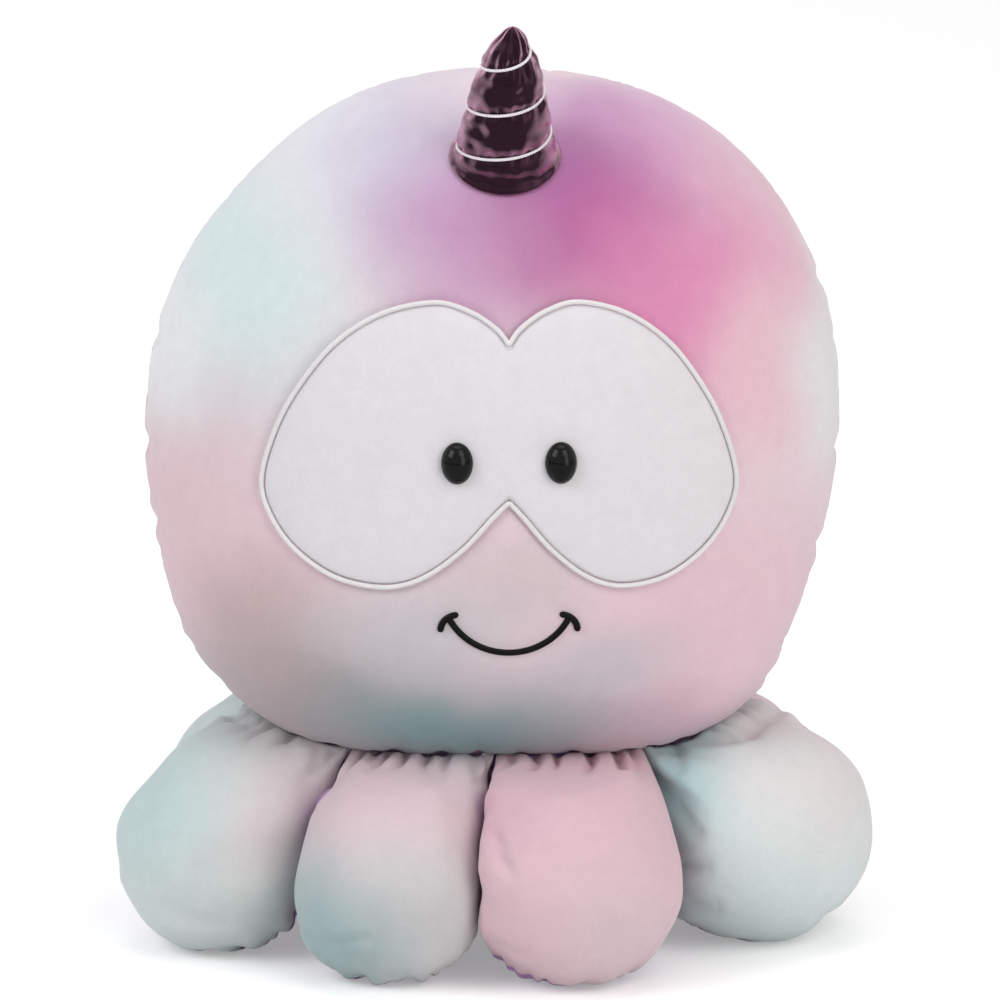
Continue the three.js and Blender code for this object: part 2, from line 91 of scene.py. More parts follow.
def linear(code):
    """The linear colour of an sRGB hex value."""
    shares = [int(code[place:place + 2], 16) / 255 for place in (1, 3, 5)]
    return [s / 12.92 if s <= 0.04045 else ((s + 0.055) / 1.055) ** 2.4 for s in shares]


def opaque(tone):
    """A linear colour as a shader's socket takes it."""
    return (*tone, 1.0)


# Sizes and colours that a user would change

def length(name, description, size):
    return FloatProperty(
        name=name, description=description, default=size, unit="LENGTH", subtype="DISTANCE")


def share(name, description, size):
    return FloatProperty(name=name, description=description, default=size, min=0.0, subtype="FACTOR")


def count(name, description, number):
    return IntProperty(name=name, description=description, default=number, min=1)


def angle(name, description, degrees):
    return FloatProperty(name=name, description=description, default=math.radians(degrees), subtype="ANGLE")


def colour(name, description, code):
    return FloatVectorProperty(
        name=name, description=description, default=linear(code), size=3, min=0.0, max=1.0, subtype="COLOR")


class ClothSettings(PropertyGroup):
    thickness: length("Thickness", "Velour with its backing", 2 * MM)
    seam_roll: length("Seam roll", "Radius of the edge that turns in at a seam", 3.2 * MM)
    lilac: colour("Lilac", "Lining panels and the base", "#b78fc0")


class HeadSettings(PropertyGroup):
    half_width: length("Half width", "From the middle to a side", span("head_front_panel", "x") / 2)
    half_depth: length("Half depth", "From the side seam to the front", -corner("head_front_panel", 0, "y"))
    seat_height: length("Seat height", "Underside above the floor", corner("base_panel", 0, "z"))
    seat_drop: length("Seat drop", "From the widest level down to the underside", 160 * MM)
    crown: length("Crown", "Height of the top", corner("head_front_panel", 1, "z"))
    crown_power: share("Crown power", "Squareness of the upper half, 2 is an ellipsoid", 2.17)
    crown_flatness: share("Crown flatness", "Extra squareness at the very top", 0.12)
    crown_onset: share("Crown onset", "How late the flatness sets in on the way up", 4.0)
    seat_power: share("Seat power", "Squareness of the underside", 4.2)
    seat_onset: share("Seat onset", "How late the squareness sets in on the way down", 2.4)
    lean: share("Lean", "Sideways lean of the head, in each unit of height", 0.03)
    lean_level: length("Lean level", "Height at which the lean crosses the middle", 300 * MM)
    lean_start: length("Lean start", "Height above the floor at which the lean sets in", 116 * MM)
    seam_lean: angle("Seam lean", "How far the side seam leans back on its way up", 9)
    seam_half_width: length("Base seam half width", "Oval seam on the underside", 121 * MM)
    seam_half_depth: length("Base seam half depth", "Oval seam on the underside", 68 * MM)
    puckers: count("Puckers", "Small folds along the side seam", 42)
    base_puckers: count("Base puckers", "Small folds along the base seam of one panel", 14)
    lumps: length("Lumps", "Height of the soft lumps of the filling", 0.9 * MM)


class FaceSettings(PropertyGroup):
    middle: length("Middle", "The face's own middle line", 7 * MM)
    left_reach: length("Left reach", "Patch from the middle line to its left end", 122 * MM)
    right_reach: length("Right reach", "Patch from the middle line to its right end", 112 * MM)
    half_height: length("Half height", "Half of the patch's height", 72 * MM)
    level: length("Level", "Middle height of the patch", 271.5 * MM)
    thickness: length("Patch thickness", "White velour on the head", 1.5 * MM)
    border_width: length("Border width", "Satin stitch round the patch", 2.5 * MM)
    border_rise: length("Border rise", "Height of the border's stitch over its own middle", 1.5 * MM)
    border_seat: length("Border seat", "Middle of the border's stitch above the head", 1.5 * MM)
    smile_half_width: length("Smile half width", "From the middle to a corner", 29 * MM)
    smile_drop: length("Smile drop", "Depth of the bow", 17 * MM)
    smile_level: length("Smile level", "Height of the smile's ends", 181.5 * MM)
    tick_radius: length("Tick radius", "Bend of the short stroke across each corner", 8.5 * MM)
    tick_inset: length("Tick inset", "From the corner in to the middle of that bend", 3.5 * MM)
    tick_drop: length("Tick drop", "From the corner down to the middle of that bend", 5 * MM)
    stroke: length("Stroke", "Width of the black stitch", 3.4 * MM)
    stroke_rise: length("Stroke rise", "Height of the black stitch over its own middle", 1.3 * MM)
    stroke_seat: length("Stroke seat", "Middle of the black stitch above the head", 0.2 * MM)
    thread: length("Thread ridge", "Bundle of threads that shows as one ridge", 1.1 * MM)
    white: colour("White", "Velour of the eye patch", "#e2dfe2")
    border: colour("Border", "Rayon thread round the patch", "#eeebec")
    ink: colour("Ink", "Rayon thread of the smile", "#0a0808")
    eye: colour("Eye", "Moulded eyes", "#060607")


class HornSettings(PropertyGroup):
    length: length("Length", "Along the horn's axis", 77 * MM)
    rim: length("Rim radius", "Rolled edge at the foot of the horn", 28 * MM)
    depth: share("Depth", "Front to back, in shares of the width", 0.8)
    forward: share("Forward", "Place of the foot, in shares of the head's half depth", 0.548)
    across: length("Across", "Place of the foot to the right of the middle", 5 * MM)
    forward_lean: angle("Forward lean", "Lean towards the face", 20)
    side_lean: angle("Side lean", "Lean to the right", 3)
    flare: length("Flare", "How far the rim spreads on the head", 1.8 * MM)
    pitch: length("Cord pitch", "Rise of the cord in one turn", 24.2 * MM)
    cord_start: length("Cord start", "Height of the cord's lower end", -0.3 * MM)
    cord_from: angle("Cord from", "Where the cord starts, round from the front", 212)
    cord_turns: share("Cord turns", "Turns of the cord", 2.83)
    cord_width: length("Cord width", "Twisted cord", 1.5 * MM)
    sink: length("Sink", "How far the cord draws the foil in", 1.5 * MM)
    foil: colour("Foil", "Plum foil cloth", "#2c1823")
    # Painted sheen: the colour that the foil turns towards where it is seen at a slant
    foil_painted_sheen: colour("Foil sheen", "Foil seen along its surface", "#e2b0c8")
    cord: colour("Cord", "Twisted cord", "#f3eff2")


class ArmSettings(PropertyGroup):
    foot_radius: length("Foot radius", "Round end of the largest front arm", 50 * MM)
    foot_sink: length("Foot sink", "How far the round foot flattens on the floor", 2.2 * MM)
    root_half: length("Root half thickness", "Flat gathered root", 6 * MM)
    root_fold: length("Root fold", "Half thickness where the root is sewn in", 2 * MM)
    tuck: length("Tuck", "How far the root reaches up into the seam", 3 * MM)
    spacing: length("Spacing", "Between neighbouring arms", 0.6 * MM)
    fullness: share("Fullness", "Extra width of the feet, which their neighbours press flat", 0.12)
    root_wrap: angle("Root wrap", "How much further the outer panel wraps under at the root", 30)
    gather_depth: length("Gather depth", "Depth of a pleat at the root", 5 * MM)
    gather_length: length("Gather length", "Length of a pleat at the root", 30 * MM)
    gathers: count("Gathers", "Folds at the root of one arm", 6)
    puckers: count("Puckers", "Small folds along the seam of one arm", 26)


class StageSettings(PropertyGroup):
    distance: length("Camera distance", "From the camera to the toy", 16.0)
    frame_size: length("Frame", "Side of the square that the camera sees", 0.5)
    elevation: angle("Elevation", "Camera above the horizon", 15)
    floor: colour("Floor", "Paper floor", "#f4f4f5")
    backdrop: colour("Backdrop", "Background behind the floor", "#ffffff")


SETTINGS = {
    "cloth": ClothSettings,
    "head": HeadSettings,
    "face": FaceSettings,
    "horn": HornSettings,
    "arm": ArmSettings,
    "stage": StageSettings,
}


def settings(group):
    return getattr(bpy.context.scene, f"plush_{group}")


# Shader nodes

def add_node(tree, kind, inputs=None, **settings_of_node):
    """Add a node; each input takes a value, or the output socket that feeds it."""
    node = tree.nodes.new(kind)
    for name, value in settings_of_node.items():
        setattr(node, name, value)
    for socket, value in (inputs or {}).items():
        if isinstance(value, bpy.types.NodeSocket):
            tree.links.new(value, node.inputs[socket])
        else:
            node.inputs[socket].default_value = value
    return node


def new_material(name):
    """A material with its tree, and the place on the resting cloth."""
    material = bpy.data.materials.new(name)
    material.use_nodes = True
    tree = material.node_tree
    tree.nodes.clear()
    place = add_node(tree, "ShaderNodeAttribute", attribute_name="place").outputs["Vector"]
    return material, tree, place


def surfaced(material, inputs):
    """The material with its surface shader, which takes these inputs."""
    tree = material.node_tree
    shader = add_node(tree, "ShaderNodeBsdfPrincipled", inputs)
    add_node(tree, "ShaderNodeOutputMaterial", {"Surface": shader.outputs["BSDF"]})
    return material


def maths(tree, operation, first, second):
    return add_node(tree, "ShaderNodeMath", {0: first, 1: second}, operation=operation).outputs[0]


def vector_maths(tree, operation, inputs, output="Vector"):
    return add_node(tree, "ShaderNodeVectorMath", inputs, operation=operation).outputs[output]


def ranged(tree, value, source, target, **kind):
    """A value carried from one range to another."""
    node = add_node(tree, "ShaderNodeMapRange",
                    {"Value": value, "From Min": source[0], "From Max": source[1],
                     "To Min": target[0], "To Max": target[1]}, **kind)
    return node.outputs["Result"]


def mixed(tree, amount, first, second, blend_type="MIX"):
    node = add_node(tree, "ShaderNodeMix", {0: amount, 6: first, 7: second},
                    data_type="RGBA", blend_type=blend_type)
    return node.outputs[2]


def worn(tree, amount, tone, darkest):
    """The tone, down to this share of itself where the amount is 0."""
    return mixed(tree, amount, opaque([value * darkest for value in tone]), opaque(tone))


def grain(tree, place, size, detail=3.0, roughness=0.55):
    """Noise whose lumps are about this size."""
    node = add_node(tree, "ShaderNodeTexNoise",
                    {"Vector": place, "Scale": 1 / size, "Detail": detail, "Roughness": roughness})
    return node.outputs["Fac"]


def bumped(tree, height, distance, strength=1.0, normal=None):
    inputs = {"Height": height, "Distance": distance, "Strength": strength}
    if normal is not None:
        inputs["Normal"] = normal
    return add_node(tree, "ShaderNodeBump", inputs).outputs["Normal"]


# Clouds of dye, and on the head painted shade and sheen: middle (mm), reach (mm), colour, strength; later
# ones lie over earlier ones

HEAD_GROUND = "#e6d0d7"
HEAD_CLOUDS = [
    ((-160, -30, 225), (110, 190, 95), "#e5c8ce", 0.95),
    ((-135, -50, 345), (95, 170, 85), "#d5e6e6", 1.0),
    # Near white along the left side: painted sheen, where the pile is seen edge on
    ((-172, -10, 310), (45, 130, 62), "#f0f1f1", 0.85),
    ((-75, -30, 410), (85, 140, 50), "#e4e6ec", 0.85),
    ((-38, -60, 396), (54, 140, 60), "#c3bcd2", 0.8),
    ((-8, -80, 370), (62, 140, 60), "#bf8bb5", 0.8),
    ((48, -70, 402), (58, 120, 42), "#a576ab", 0.95),
    ((92, -40, 412), (60, 120, 42), "#d4a6ca", 0.9),
    ((128, -40, 372), (56, 140, 58), "#e6bccd", 0.9),
    ((56, -80, 374), (66, 130, 52), "#b3659a", 0.95),
    ((94, -85, 334), (66, 130, 58), "#dc88b2", 0.9),
    ((132, -70, 300), (44, 140, 54), "#e9c2cd", 0.85),
    # Pale along the right side: painted sheen, where the pile is seen edge on
    ((182, -30, 290), (36, 170, 90), "#e4eaea", 0.85),
    ((105, -80, 172), (95, 150, 72), "#e4c2cd", 0.85),
    # From here to the back's clouds, the clouds darken the head towards its underside: partly its taupe,
    # pink and teal dye, partly painted shade under the head
    ((-110, -90, 182), (48, 110, 44), "#c2abaa", 0.7),
    ((8, -120, 205), (50, 80, 34), "#d0c2c5", 0.7),
    ((-90, -80, 130), (110, 150, 52), "#a79a9b", 0.85),
    ((95, -90, 112), (80, 100, 32), "#c3a4b2", 0.7),
    ((-18, -100, 116), (90, 130, 44), "#7b9fa0", 0.95),
    ((-42, -110, 172), (62, 90, 36), "#bcc3c5", 0.6),
    ((54, -100, 156), (50, 90, 30), "#b8bfc3", 0.55),
    ((-60, 110, 350), (130, 90, 110), "#e2b9cc", 0.8),
    ((80, 115, 330), (110, 90, 110), "#c6dcdd", 0.85),
    ((60, 110, 180), (120, 90, 80), "#c9a4cc", 0.8),
    ((-90, 105, 190), (100, 90, 80), "#dfe6e7", 0.75),
]

LILAC_CLOUDS = [((0, 0, 20), (190, 190, 60), "#c3a0ca", 0.6)]

ARM_CLOUDS = {
    "left_front": ("#d3dedc", [
        ((-165, -60, 75), (60, 80, 50), "#bdd5d4", 0.85),
        ((-132, -90, 45), (40, 60, 34), "#c3c6c5", 0.7),
        ((-100, -70, 70), (48, 90, 60), "#dccbcf", 0.9),
        ((-130, -110, 10), (70, 60, 34), "#d0d6d3", 0.6),
    ]),
    "front_left": ("#cdcdcd", [
        ((-50, -100, 92), (75, 90, 44), "#e3c8d0", 0.95),
        ((-85, -140, 28), (50, 70, 42), "#9cb6b7", 0.9),
        ((-35, -165, 46), (36, 50, 30), "#c6c2c3", 0.5),
    ]),
    "front_right": ("#debec6", [
        ((60, -150, 25), (48, 60, 40), "#d8c8cb", 0.7),
        ((20, -120, 90), (50, 60, 34), "#dfb9c6", 0.7),
    ]),
    "right_front": ("#d9e1e0", [
        ((88, -80, 84), (46, 70, 46), "#b2d5d5", 0.95),
        ((155, -40, 85), (52, 80, 44), "#e6dbdc", 0.85),
        ((120, -100, 20), (70, 60, 34), "#cddedd", 0.7),
    ]),
    "right_back": ("#dfc6cf", [((140, 60, 40), (60, 60, 50), "#c3d9d8", 0.85)]),
    "back_right": ("#cfdcdc", [((50, 120, 80), (60, 70, 45), "#d9b7c9", 0.9)]),
    "back_left": ("#e1c3ce", [((-50, 150, 40), (60, 60, 45), "#d7e2e1", 0.85)]),
    "left_back": ("#cfdcda", [((-135, 90, 25), (50, 50, 40), "#cfb1cf", 0.85)]),
}


# A cloud's uneven edge: the grain of the runs, how far they stray, and where the cloud ends,
# in shares of its reach
RUN_GRAIN = 70 * MM
RUN_DRIFT = 45 * MM
CLOUD_END = 1.4


def clouded(tree, place, ground, clouds):
    """Clouds of colour on the cloth, each fading out at an uneven edge: dye, and on the head painted shade
    and sheen.
    """
    noise = add_node(tree, "ShaderNodeTexNoise",
                     {"Vector": place, "Scale": 1 / RUN_GRAIN, "Detail": 2.0, "Roughness": 0.5})
    centred = vector_maths(tree, "SUBTRACT", {0: noise.outputs["Color"], 1: (0.5, 0.5, 0.5)})
    drift = vector_maths(tree, "SCALE", {0: centred, "Scale": RUN_DRIFT})
    seen = vector_maths(tree, "ADD", {0: place, 1: drift})
    tone = opaque(ground)
    for centre, reach, code, strength in clouds:
        offset = vector_maths(tree, "SUBTRACT", {0: seen, 1: [value * MM for value in centre]})
        scaled = vector_maths(tree, "DIVIDE", {0: offset, 1: [value * MM for value in reach]})
        distance = vector_maths(tree, "LENGTH", {0: scaled}, "Value")
        amount = ranged(tree, distance, (0.0, CLOUD_END), (strength, 0.0),
                        interpolation_type="SMOOTHERSTEP")
        tone = mixed(tree, amount, tone, opaque(linear(code)))
    return tone


# Materials

# Most of a noise's values lie between these
NOISE_SPREAD = (0.3, 0.7)


def velour(name, ground, clouds=()):
    """Knitted polyester velour, brushed and sheared: matt, with a soft sheen and a faint mottle."""
    material, tree, place = new_material(name)
    # Brushed pile leans one way and another in patches, which lighten and darken the cloth
    patches = grain(tree, place, 9 * MM)
    # Tufts of the sheared pile are under 1 mm, drawn at 2 mm so that they show
    tufts = grain(tree, place, 2 * MM, detail=2.0)
    mottle = ranged(tree, patches, NOISE_SPREAD, (0.98, 1.02))
    speck = ranged(tree, tufts, NOISE_SPREAD, (0.985, 1.015))
    # Dye clouds, and among the head's clouds painted shade and sheen
    tone = clouded(tree, place, ground, clouds)
    return surfaced(material, {
        "Base Color": mixed(tree, 1.0, tone, maths(tree, "MULTIPLY", mottle, speck), "MULTIPLY"),
        "Normal": bumped(tree, tufts, 0.25 * MM, 0.6, bumped(tree, patches, 0.4 * MM, 0.3)),
        "Roughness": 0.92,
        "Specular IOR Level": 0.2,
        "Sheen Weight": 0.35,
        "Sheen Roughness": 0.45,
    })


def lilac_velour():
    """One lilac velour for the base and all the arms' inner panels."""
    found = bpy.data.materials.get("lilac velour")
    if found is not None:
        return found
    return velour("lilac velour", settings("cloth").lilac, LILAC_CLOUDS)


def satin_stitch(name, tone, roughness, specular):
    """Rayon embroidery thread, laid side by side: a soft shine that breaks up on the threads."""
    material, tree, place = new_material(name)
    fibres = grain(tree, place, 0.8 * MM, detail=2.0)
    return surfaced(material, {
        "Base Color": worn(tree, fibres, tone, 0.85),
        "Normal": bumped(tree, fibres, 0.15 * MM, 0.5),
        "Roughness": roughness,
        "Specular IOR Level": specular,
    })


def twisted_yarn(name, tone):
    """Twisted viscose cord: a mild shine along each ply."""
    material, tree, place = new_material(name)
    fibres = grain(tree, place, 0.6 * MM, detail=2.0)
    return surfaced(material, {
        "Base Color": worn(tree, fibres, tone, 0.88),
        "Normal": bumped(tree, fibres, 0.12 * MM, 0.5),
        "Roughness": 0.55,
        "Sheen Weight": 0.25,
    })


def moulded_plastic(name, tone, roughness, specular):
    """Injection moulded plastic, tumbled smooth: an even shine with the faintest ripple."""
    material, tree, place = new_material(name)
    ripple = grain(tree, place, 5 * MM, detail=1.0)
    lighter = [min(1.0, value * 1.1) for value in tone]
    return surfaced(material, {
        "Base Color": mixed(tree, ripple, opaque(tone), opaque(lighter)),
        "Normal": bumped(tree, ripple, 0.05 * MM, 0.3),
        "Roughness": roughness,
        "Specular IOR Level": specular,
    })


def foil_cloth(name, tone, glancing):
    """Knit with a metal foil bonded on: dark plum head on, a painted pink sheen at a slant, with sharp
    bright creases.
    """
    material, tree, place = new_material(name)
    cells = add_node(tree, "ShaderNodeTexVoronoi", {"Vector": place, "Scale": 1 / (9 * MM)},
                     feature="SMOOTH_F1")
    knit = grain(tree, place, 1.2 * MM, detail=2.0)
    rub_and_sheen = grain(tree, place, 14 * MM)
    folded = bumped(tree, cells.outputs["Distance"], 2.2 * MM, 0.7)
    surface = bumped(tree, knit, 0.1 * MM, 0.4, folded)
    # Painted sheen: the colour turns brighter and pinker where the foil is seen at a slant, less so where
    # it is rubbed
    slant = add_node(tree, "ShaderNodeLayerWeight", {"Blend": 0.5, "Normal": surface}).outputs["Facing"]
    sheen = ranged(tree, slant, (0.2, 0.62), (0.0, 1.0))
    amount = maths(tree, "MULTIPLY", sheen, ranged(tree, rub_and_sheen, NOISE_SPREAD, (0.5, 1.0)))
    return surfaced(material, {
        "Base Color": mixed(tree, amount, opaque(tone), opaque(glancing)),
        "Normal": surface,
        "Roughness": ranged(tree, rub_and_sheen, NOISE_SPREAD, (0.2, 0.32)),
        "Metallic": 0.9,
    })


# Grids of points, as arrays of rows and columns

# Points closer than this are one point
WELD = 0.0005 * MM


def unit(vectors):
    return vectors / np.maximum(np.linalg.norm(vectors, axis=-1, keepdims=True), TINY)


def outward_normals(grid, inside, closed):
    """Unit normals of a grid, away from the inside points."""
    down = np.gradient(grid, axis=0)
    if closed:
        across = np.roll(grid, -1, axis=1) - np.roll(grid, 1, axis=1)
    else:
        across = np.gradient(grid, axis=1)
    normals = np.cross(down, across)
    flat = np.linalg.norm(normals, axis=-1) < TINY * MM
    for row, neighbour in ((0, 1), (-1, -2)):
        if flat[row].any():
            normals[row] = unit(normals[neighbour]).mean(axis=0)
    normals = unit(normals)
    if np.sum(normals * (grid - inside)) < 0:
        normals = -normals
    return normals


def steps_between(grid, axis):
    """Distances from each point to the one before it along an axis, with 0 first."""
    gaps = np.linalg.norm(np.diff(grid, axis=axis), axis=-1)
    padding = [(1, 0), (0, 0)] if axis == 0 else [(0, 0), (1, 0)]
    return np.pad(gaps, padding)


def shell(name, grid, normals, thickness, material, closed=False):
    """A piece of cloth with its real thickness, from the grid of its outer face."""
    rows, columns = grid.shape[:2]
    inner = grid - normals * thickness
    vertices = np.concatenate([grid.reshape(-1, 3), inner.reshape(-1, 3)])
    size = rows * columns
    last = columns if closed else columns - 1
    faces = []
    for row in range(rows - 1):
        for column in range(last):
            beside = (column + 1) % columns
            quad = [row * columns + column, row * columns + beside,
                    (row + 1) * columns + beside, (row + 1) * columns + column]
            faces.append(quad)
            faces.append([size + index for index in reversed(quad)])
    rim = [row * columns + column for row in (0, rows - 1) for column in range(last)]
    for index in rim:
        row, column = divmod(index, columns)
        beside = row * columns + (column + 1) % columns
        edge = [index, size + index, size + beside, beside]
        faces.append(edge if row == 0 else edge[::-1])
    if not closed:
        for column in (0, columns - 1):
            for row in range(rows - 1):
                index = row * columns + column
                edge = [index, index + columns, size + index + columns, size + index]
                faces.append(edge if column == 0 else edge[::-1])
    return mesh_piece(name, vertices, faces, material)


def mesh_piece(name, vertices, faces, material):
    """A smooth closed mesh that remembers where each point of it rests."""
    mesh = bpy.data.meshes.new(name)
    build = bmesh.new()
    points = [build.verts.new(vertex) for vertex in vertices]
    for face in faces:
        build.faces.new([points[index] for index in face])
    bmesh.ops.remove_doubles(build, verts=build.verts, dist=WELD)
    bmesh.ops.recalc_face_normals(build, faces=build.faces)
    build.to_mesh(mesh)
    build.free()
    mesh.shade_smooth()
    mesh.materials.append(material)
    place = mesh.attributes.new("place", "FLOAT_VECTOR", "POINT")
    coordinates = np.empty(len(mesh.vertices) * 3, np.float32)
    mesh.vertices.foreach_get("co", coordinates)
    place.data.foreach_set("vector", coordinates)
    piece = bpy.data.objects.new(name, mesh)
    bpy.context.scene.collection.objects.link(piece)
    return piece


def tube(name, sections, material):
    """A closed tube through rings of points, with its ends drawn together."""
    rings = np.asarray(sections)
    ring_count, sides = rings.shape[:2]
    vertices = [*rings.reshape(-1, 3), rings[0].mean(axis=0), rings[-1].mean(axis=0)]
    faces = []
    for ring in range(ring_count - 1):
        for side in range(sides):
            beside = (side + 1) % sides
            faces.append([ring * sides + side, ring * sides + beside,
                          (ring + 1) * sides + beside, (ring + 1) * sides + side])
    for side in range(sides):
        beside = (side + 1) % sides
        faces.append([ring_count * sides, beside, side])
        final = (ring_count - 1) * sides
        faces.append([ring_count * sides + 1, final + side, final + beside])
    return mesh_piece(name, vertices, faces, material)


# Folds in the cloth

# Depth, width and length of the folds along each seam
SIDE_FOLD = (1.6 * MM, 3.2 * MM, 22 * MM)
DEEP_FOLD = (2.6 * MM, 4.5 * MM, 34 * MM)
BASE_FOLD = (1.6 * MM, 3 * MM, 16 * MM)
BASE_FOLDS = 34
ARM_FOLD = (3.2 * MM, 3.2 * MM, 24 * MM)
# How much wider a fold gets in each unit of length away from its seam
FOLD_SPREAD = 0.22


def bell(offset):
    """1 at an offset of 0, fading out on both sides of it."""
    return np.exp(-offset ** 2)


def creased(offset, ridge, spread):
    """Depth of a crease at offsets in shares of its width: 1 in the middle, a soft ridge on each side."""
    return bell(offset) - ridge * bell(offset / spread)


def scattered_folds(seed, number, run, deep, wide, long):
    """Small folds along a seam: place, depth, width and length of each, in order and unevenly spaced."""
    draw = random.Random(seed)
    folds = []
    for index in range(number):
        place = run * (index + draw.uniform(0.15, 0.85)) / number
        folds.append((place, deep * draw.uniform(0.3, 1.0), wide * draw.uniform(0.6, 1.4),
                      long * draw.uniform(0.45, 1.3)))
    return folds


def fold_depth(along, away, folds, run):
    """Depth of the folds at places along a closed seam of this run and away from it."""
    depth = np.zeros_like(along)
    for place, deep, wide, long in folds:
        offset = (along - place + run / 2) % run - run / 2
        width = wide + away * FOLD_SPREAD
        depth += deep * bell(away / long) * creased(offset / width, 0.4, 2.4)
    return depth


def rolled_depth(away, radius):
    """How far the cloth turns in beside a seam."""
    left = np.clip(radius - away, 0, radius)
    return radius - np.sqrt(radius ** 2 - left ** 2)


def soft_lumps(grid, seed, height, size):
    """Low lumps of filling under the cloth, from a few crossed waves."""
    draw = random.Random(seed)
    lumps = np.zeros(grid.shape[:-1])
    waves = 6
    for _ in range(waves):
        heading = unit(np.array([draw.gauss(0, 1) for _ in range(3)]))
        wave = 2 * math.pi / (size * draw.uniform(0.7, 1.5))
        lumps += np.sin((grid @ heading) * wave + draw.uniform(0, 2 * math.pi))
    return lumps * height / math.sqrt(waves)


def soft_floor(height, softness):
    """Heights that stay at 0 or more, with a round turn at 0."""
    bend = (height + softness) ** 2 / (4 * softness)
    return np.where(height > softness, height, np.where(height < -softness, 0, bend))


def held_off_plane(grid, place, normal, softness):
    height = (grid - place) @ normal
    return grid + (soft_floor(height, softness) - height)[..., None] * normal


# Head

def head_centre():
    head = settings("head")
    return np.array([0, 0, head.seat_height + head.seat_drop])


def rise_towards(upwards):
    """The head's half height on the upper and the lower side of its widest level."""
    head = settings("head")
    return np.where(upwards > 0, head.crown - head.seat_height - head.seat_drop, head.seat_drop)


def head_half_sizes(upwards, growth):
    head = settings("head")
    rise = rise_towards(upwards)
    wide = np.full_like(rise, head.half_width)
    deep = np.full_like(rise, head.half_depth)
    return np.stack([wide, deep, rise], axis=-1) + growth


def head_power(directions):
    head = settings("head")
    up = np.clip(directions[..., 2], 0, None)
    down = np.clip(-directions[..., 2], 0, None)
    return (head.crown_power + head.crown_flatness * up ** head.crown_onset
            + (head.seat_power - head.crown_power) * down ** head.seat_onset)


def upright_points(directions, growth=0.0):
    """Points of the upright head's form in these directions, larger or smaller by the growth."""
    power = head_power(directions)
    total = (np.abs(directions) ** power[..., None]).sum(axis=-1)
    reach = total ** (-1 / power)
    return head_centre() + directions * reach[..., None] * head_half_sizes(directions[..., 2], growth)


# The lean sets in over this height
LEAN_RUN = 40 * MM


def leaned(z):
    """How far the head leans to the side at heights, with none at the base seam."""
    head = settings("head")
    held = np.clip((z - head.lean_start) / LEAN_RUN, 0, 1)
    return head.lean * (z - head.lean_level) * held * held * (3 - 2 * held)


def lean_head(grid, sign=1):
    moved = grid.copy()
    moved[..., 0] += sign * leaned(grid[..., 2])
    return moved


def head_sum(points):
    """The head's rule at points: under 1 inside it, over 1 outside."""
    offset = lean_head(points, -1) - head_centre()
    shares = offset / head_half_sizes(offset[..., 2], 0)
    return (np.abs(shares) ** head_power(unit(shares))[..., None]).sum(axis=-1)


def head_reach(places, axis, sign, growth=0.0):
    """Where the head's surface lies along one axis, at places known along the other two."""
    upwards = places[..., 2] if axis != 2 else np.full(places.shape[:-1], sign)
    sizes = head_half_sizes(upwards, growth)
    shares = places / sizes
    inside = np.zeros(places.shape[:-1])
    outside = np.ones(places.shape[:-1])
    for _ in range(SEARCH_STEPS):
        trial = (inside + outside) / 2
        shares[..., axis] = sign * trial
        power = head_power(unit(shares))
        out = (np.abs(shares) ** power[..., None]).sum(axis=-1) > 1
        outside = np.where(out, trial, outside)
        inside = np.where(out, inside, trial)
    return sign * inside * sizes[..., axis]


def underside(x, y, growth=0.0):
    places = np.stack([x, y, np.zeros_like(x)], axis=-1)
    return head_centre()[2] + head_reach(places, 2, -1, growth)


def face_front(x, z, growth=0.0):
    """Depth of the face at places across and up, with its dents."""
    places = np.stack([x - leaned(z), np.zeros_like(x), z - head_centre()[2]], axis=-1)
    return head_reach(places, 1, -1, growth) + face_dents(x, z)


def held_off_head(grid, clearance, softness):
    """Points that lie in the head, pressed out onto it."""
    centre = head_centre()
    offset = lean_head(grid, -1) - centre
    directions = unit(offset / head_half_sizes(offset[..., 2], clearance))
    reach = np.linalg.norm(offset, axis=-1)
    limit = np.linalg.norm(upright_points(directions, clearance) - centre, axis=-1)
    moved = limit + soft_floor(reach - limit, softness)
    return grid + offset * (moved / np.maximum(reach, TINY) - 1)[..., None]


def base_oval(turn):
    head = settings("head")
    return head.seam_half_width * np.cos(turn), head.seam_half_depth * np.sin(turn)


def in_base_oval(points):
    head = settings("head")
    return (points[..., 0] / head.seam_half_width) ** 2 + (points[..., 1] / head.seam_half_depth) ** 2 < 1


def panel_directions(slant, turn):
    """Directions round the head's front pole: slant from the front, turn from the top."""
    forward = -np.cos(slant) + 0 * turn
    return np.stack([np.sin(slant) * np.sin(turn), forward, np.sin(slant) * np.cos(turn)], axis=-1)


def side_slant(turn, facing):
    """Slant of the side seam, whose plane leans back on its way up, at turns from the top."""
    head = settings("head")
    slope = math.tan(head.seam_lean) * rise_towards(np.cos(turn)) / head.half_depth
    return math.pi / 2 - facing * np.arctan(slope * np.cos(turn))


# Columns along the side seam and along the base seam of one panel
SIDE_COLUMNS = 300
BASE_COLUMNS = 100


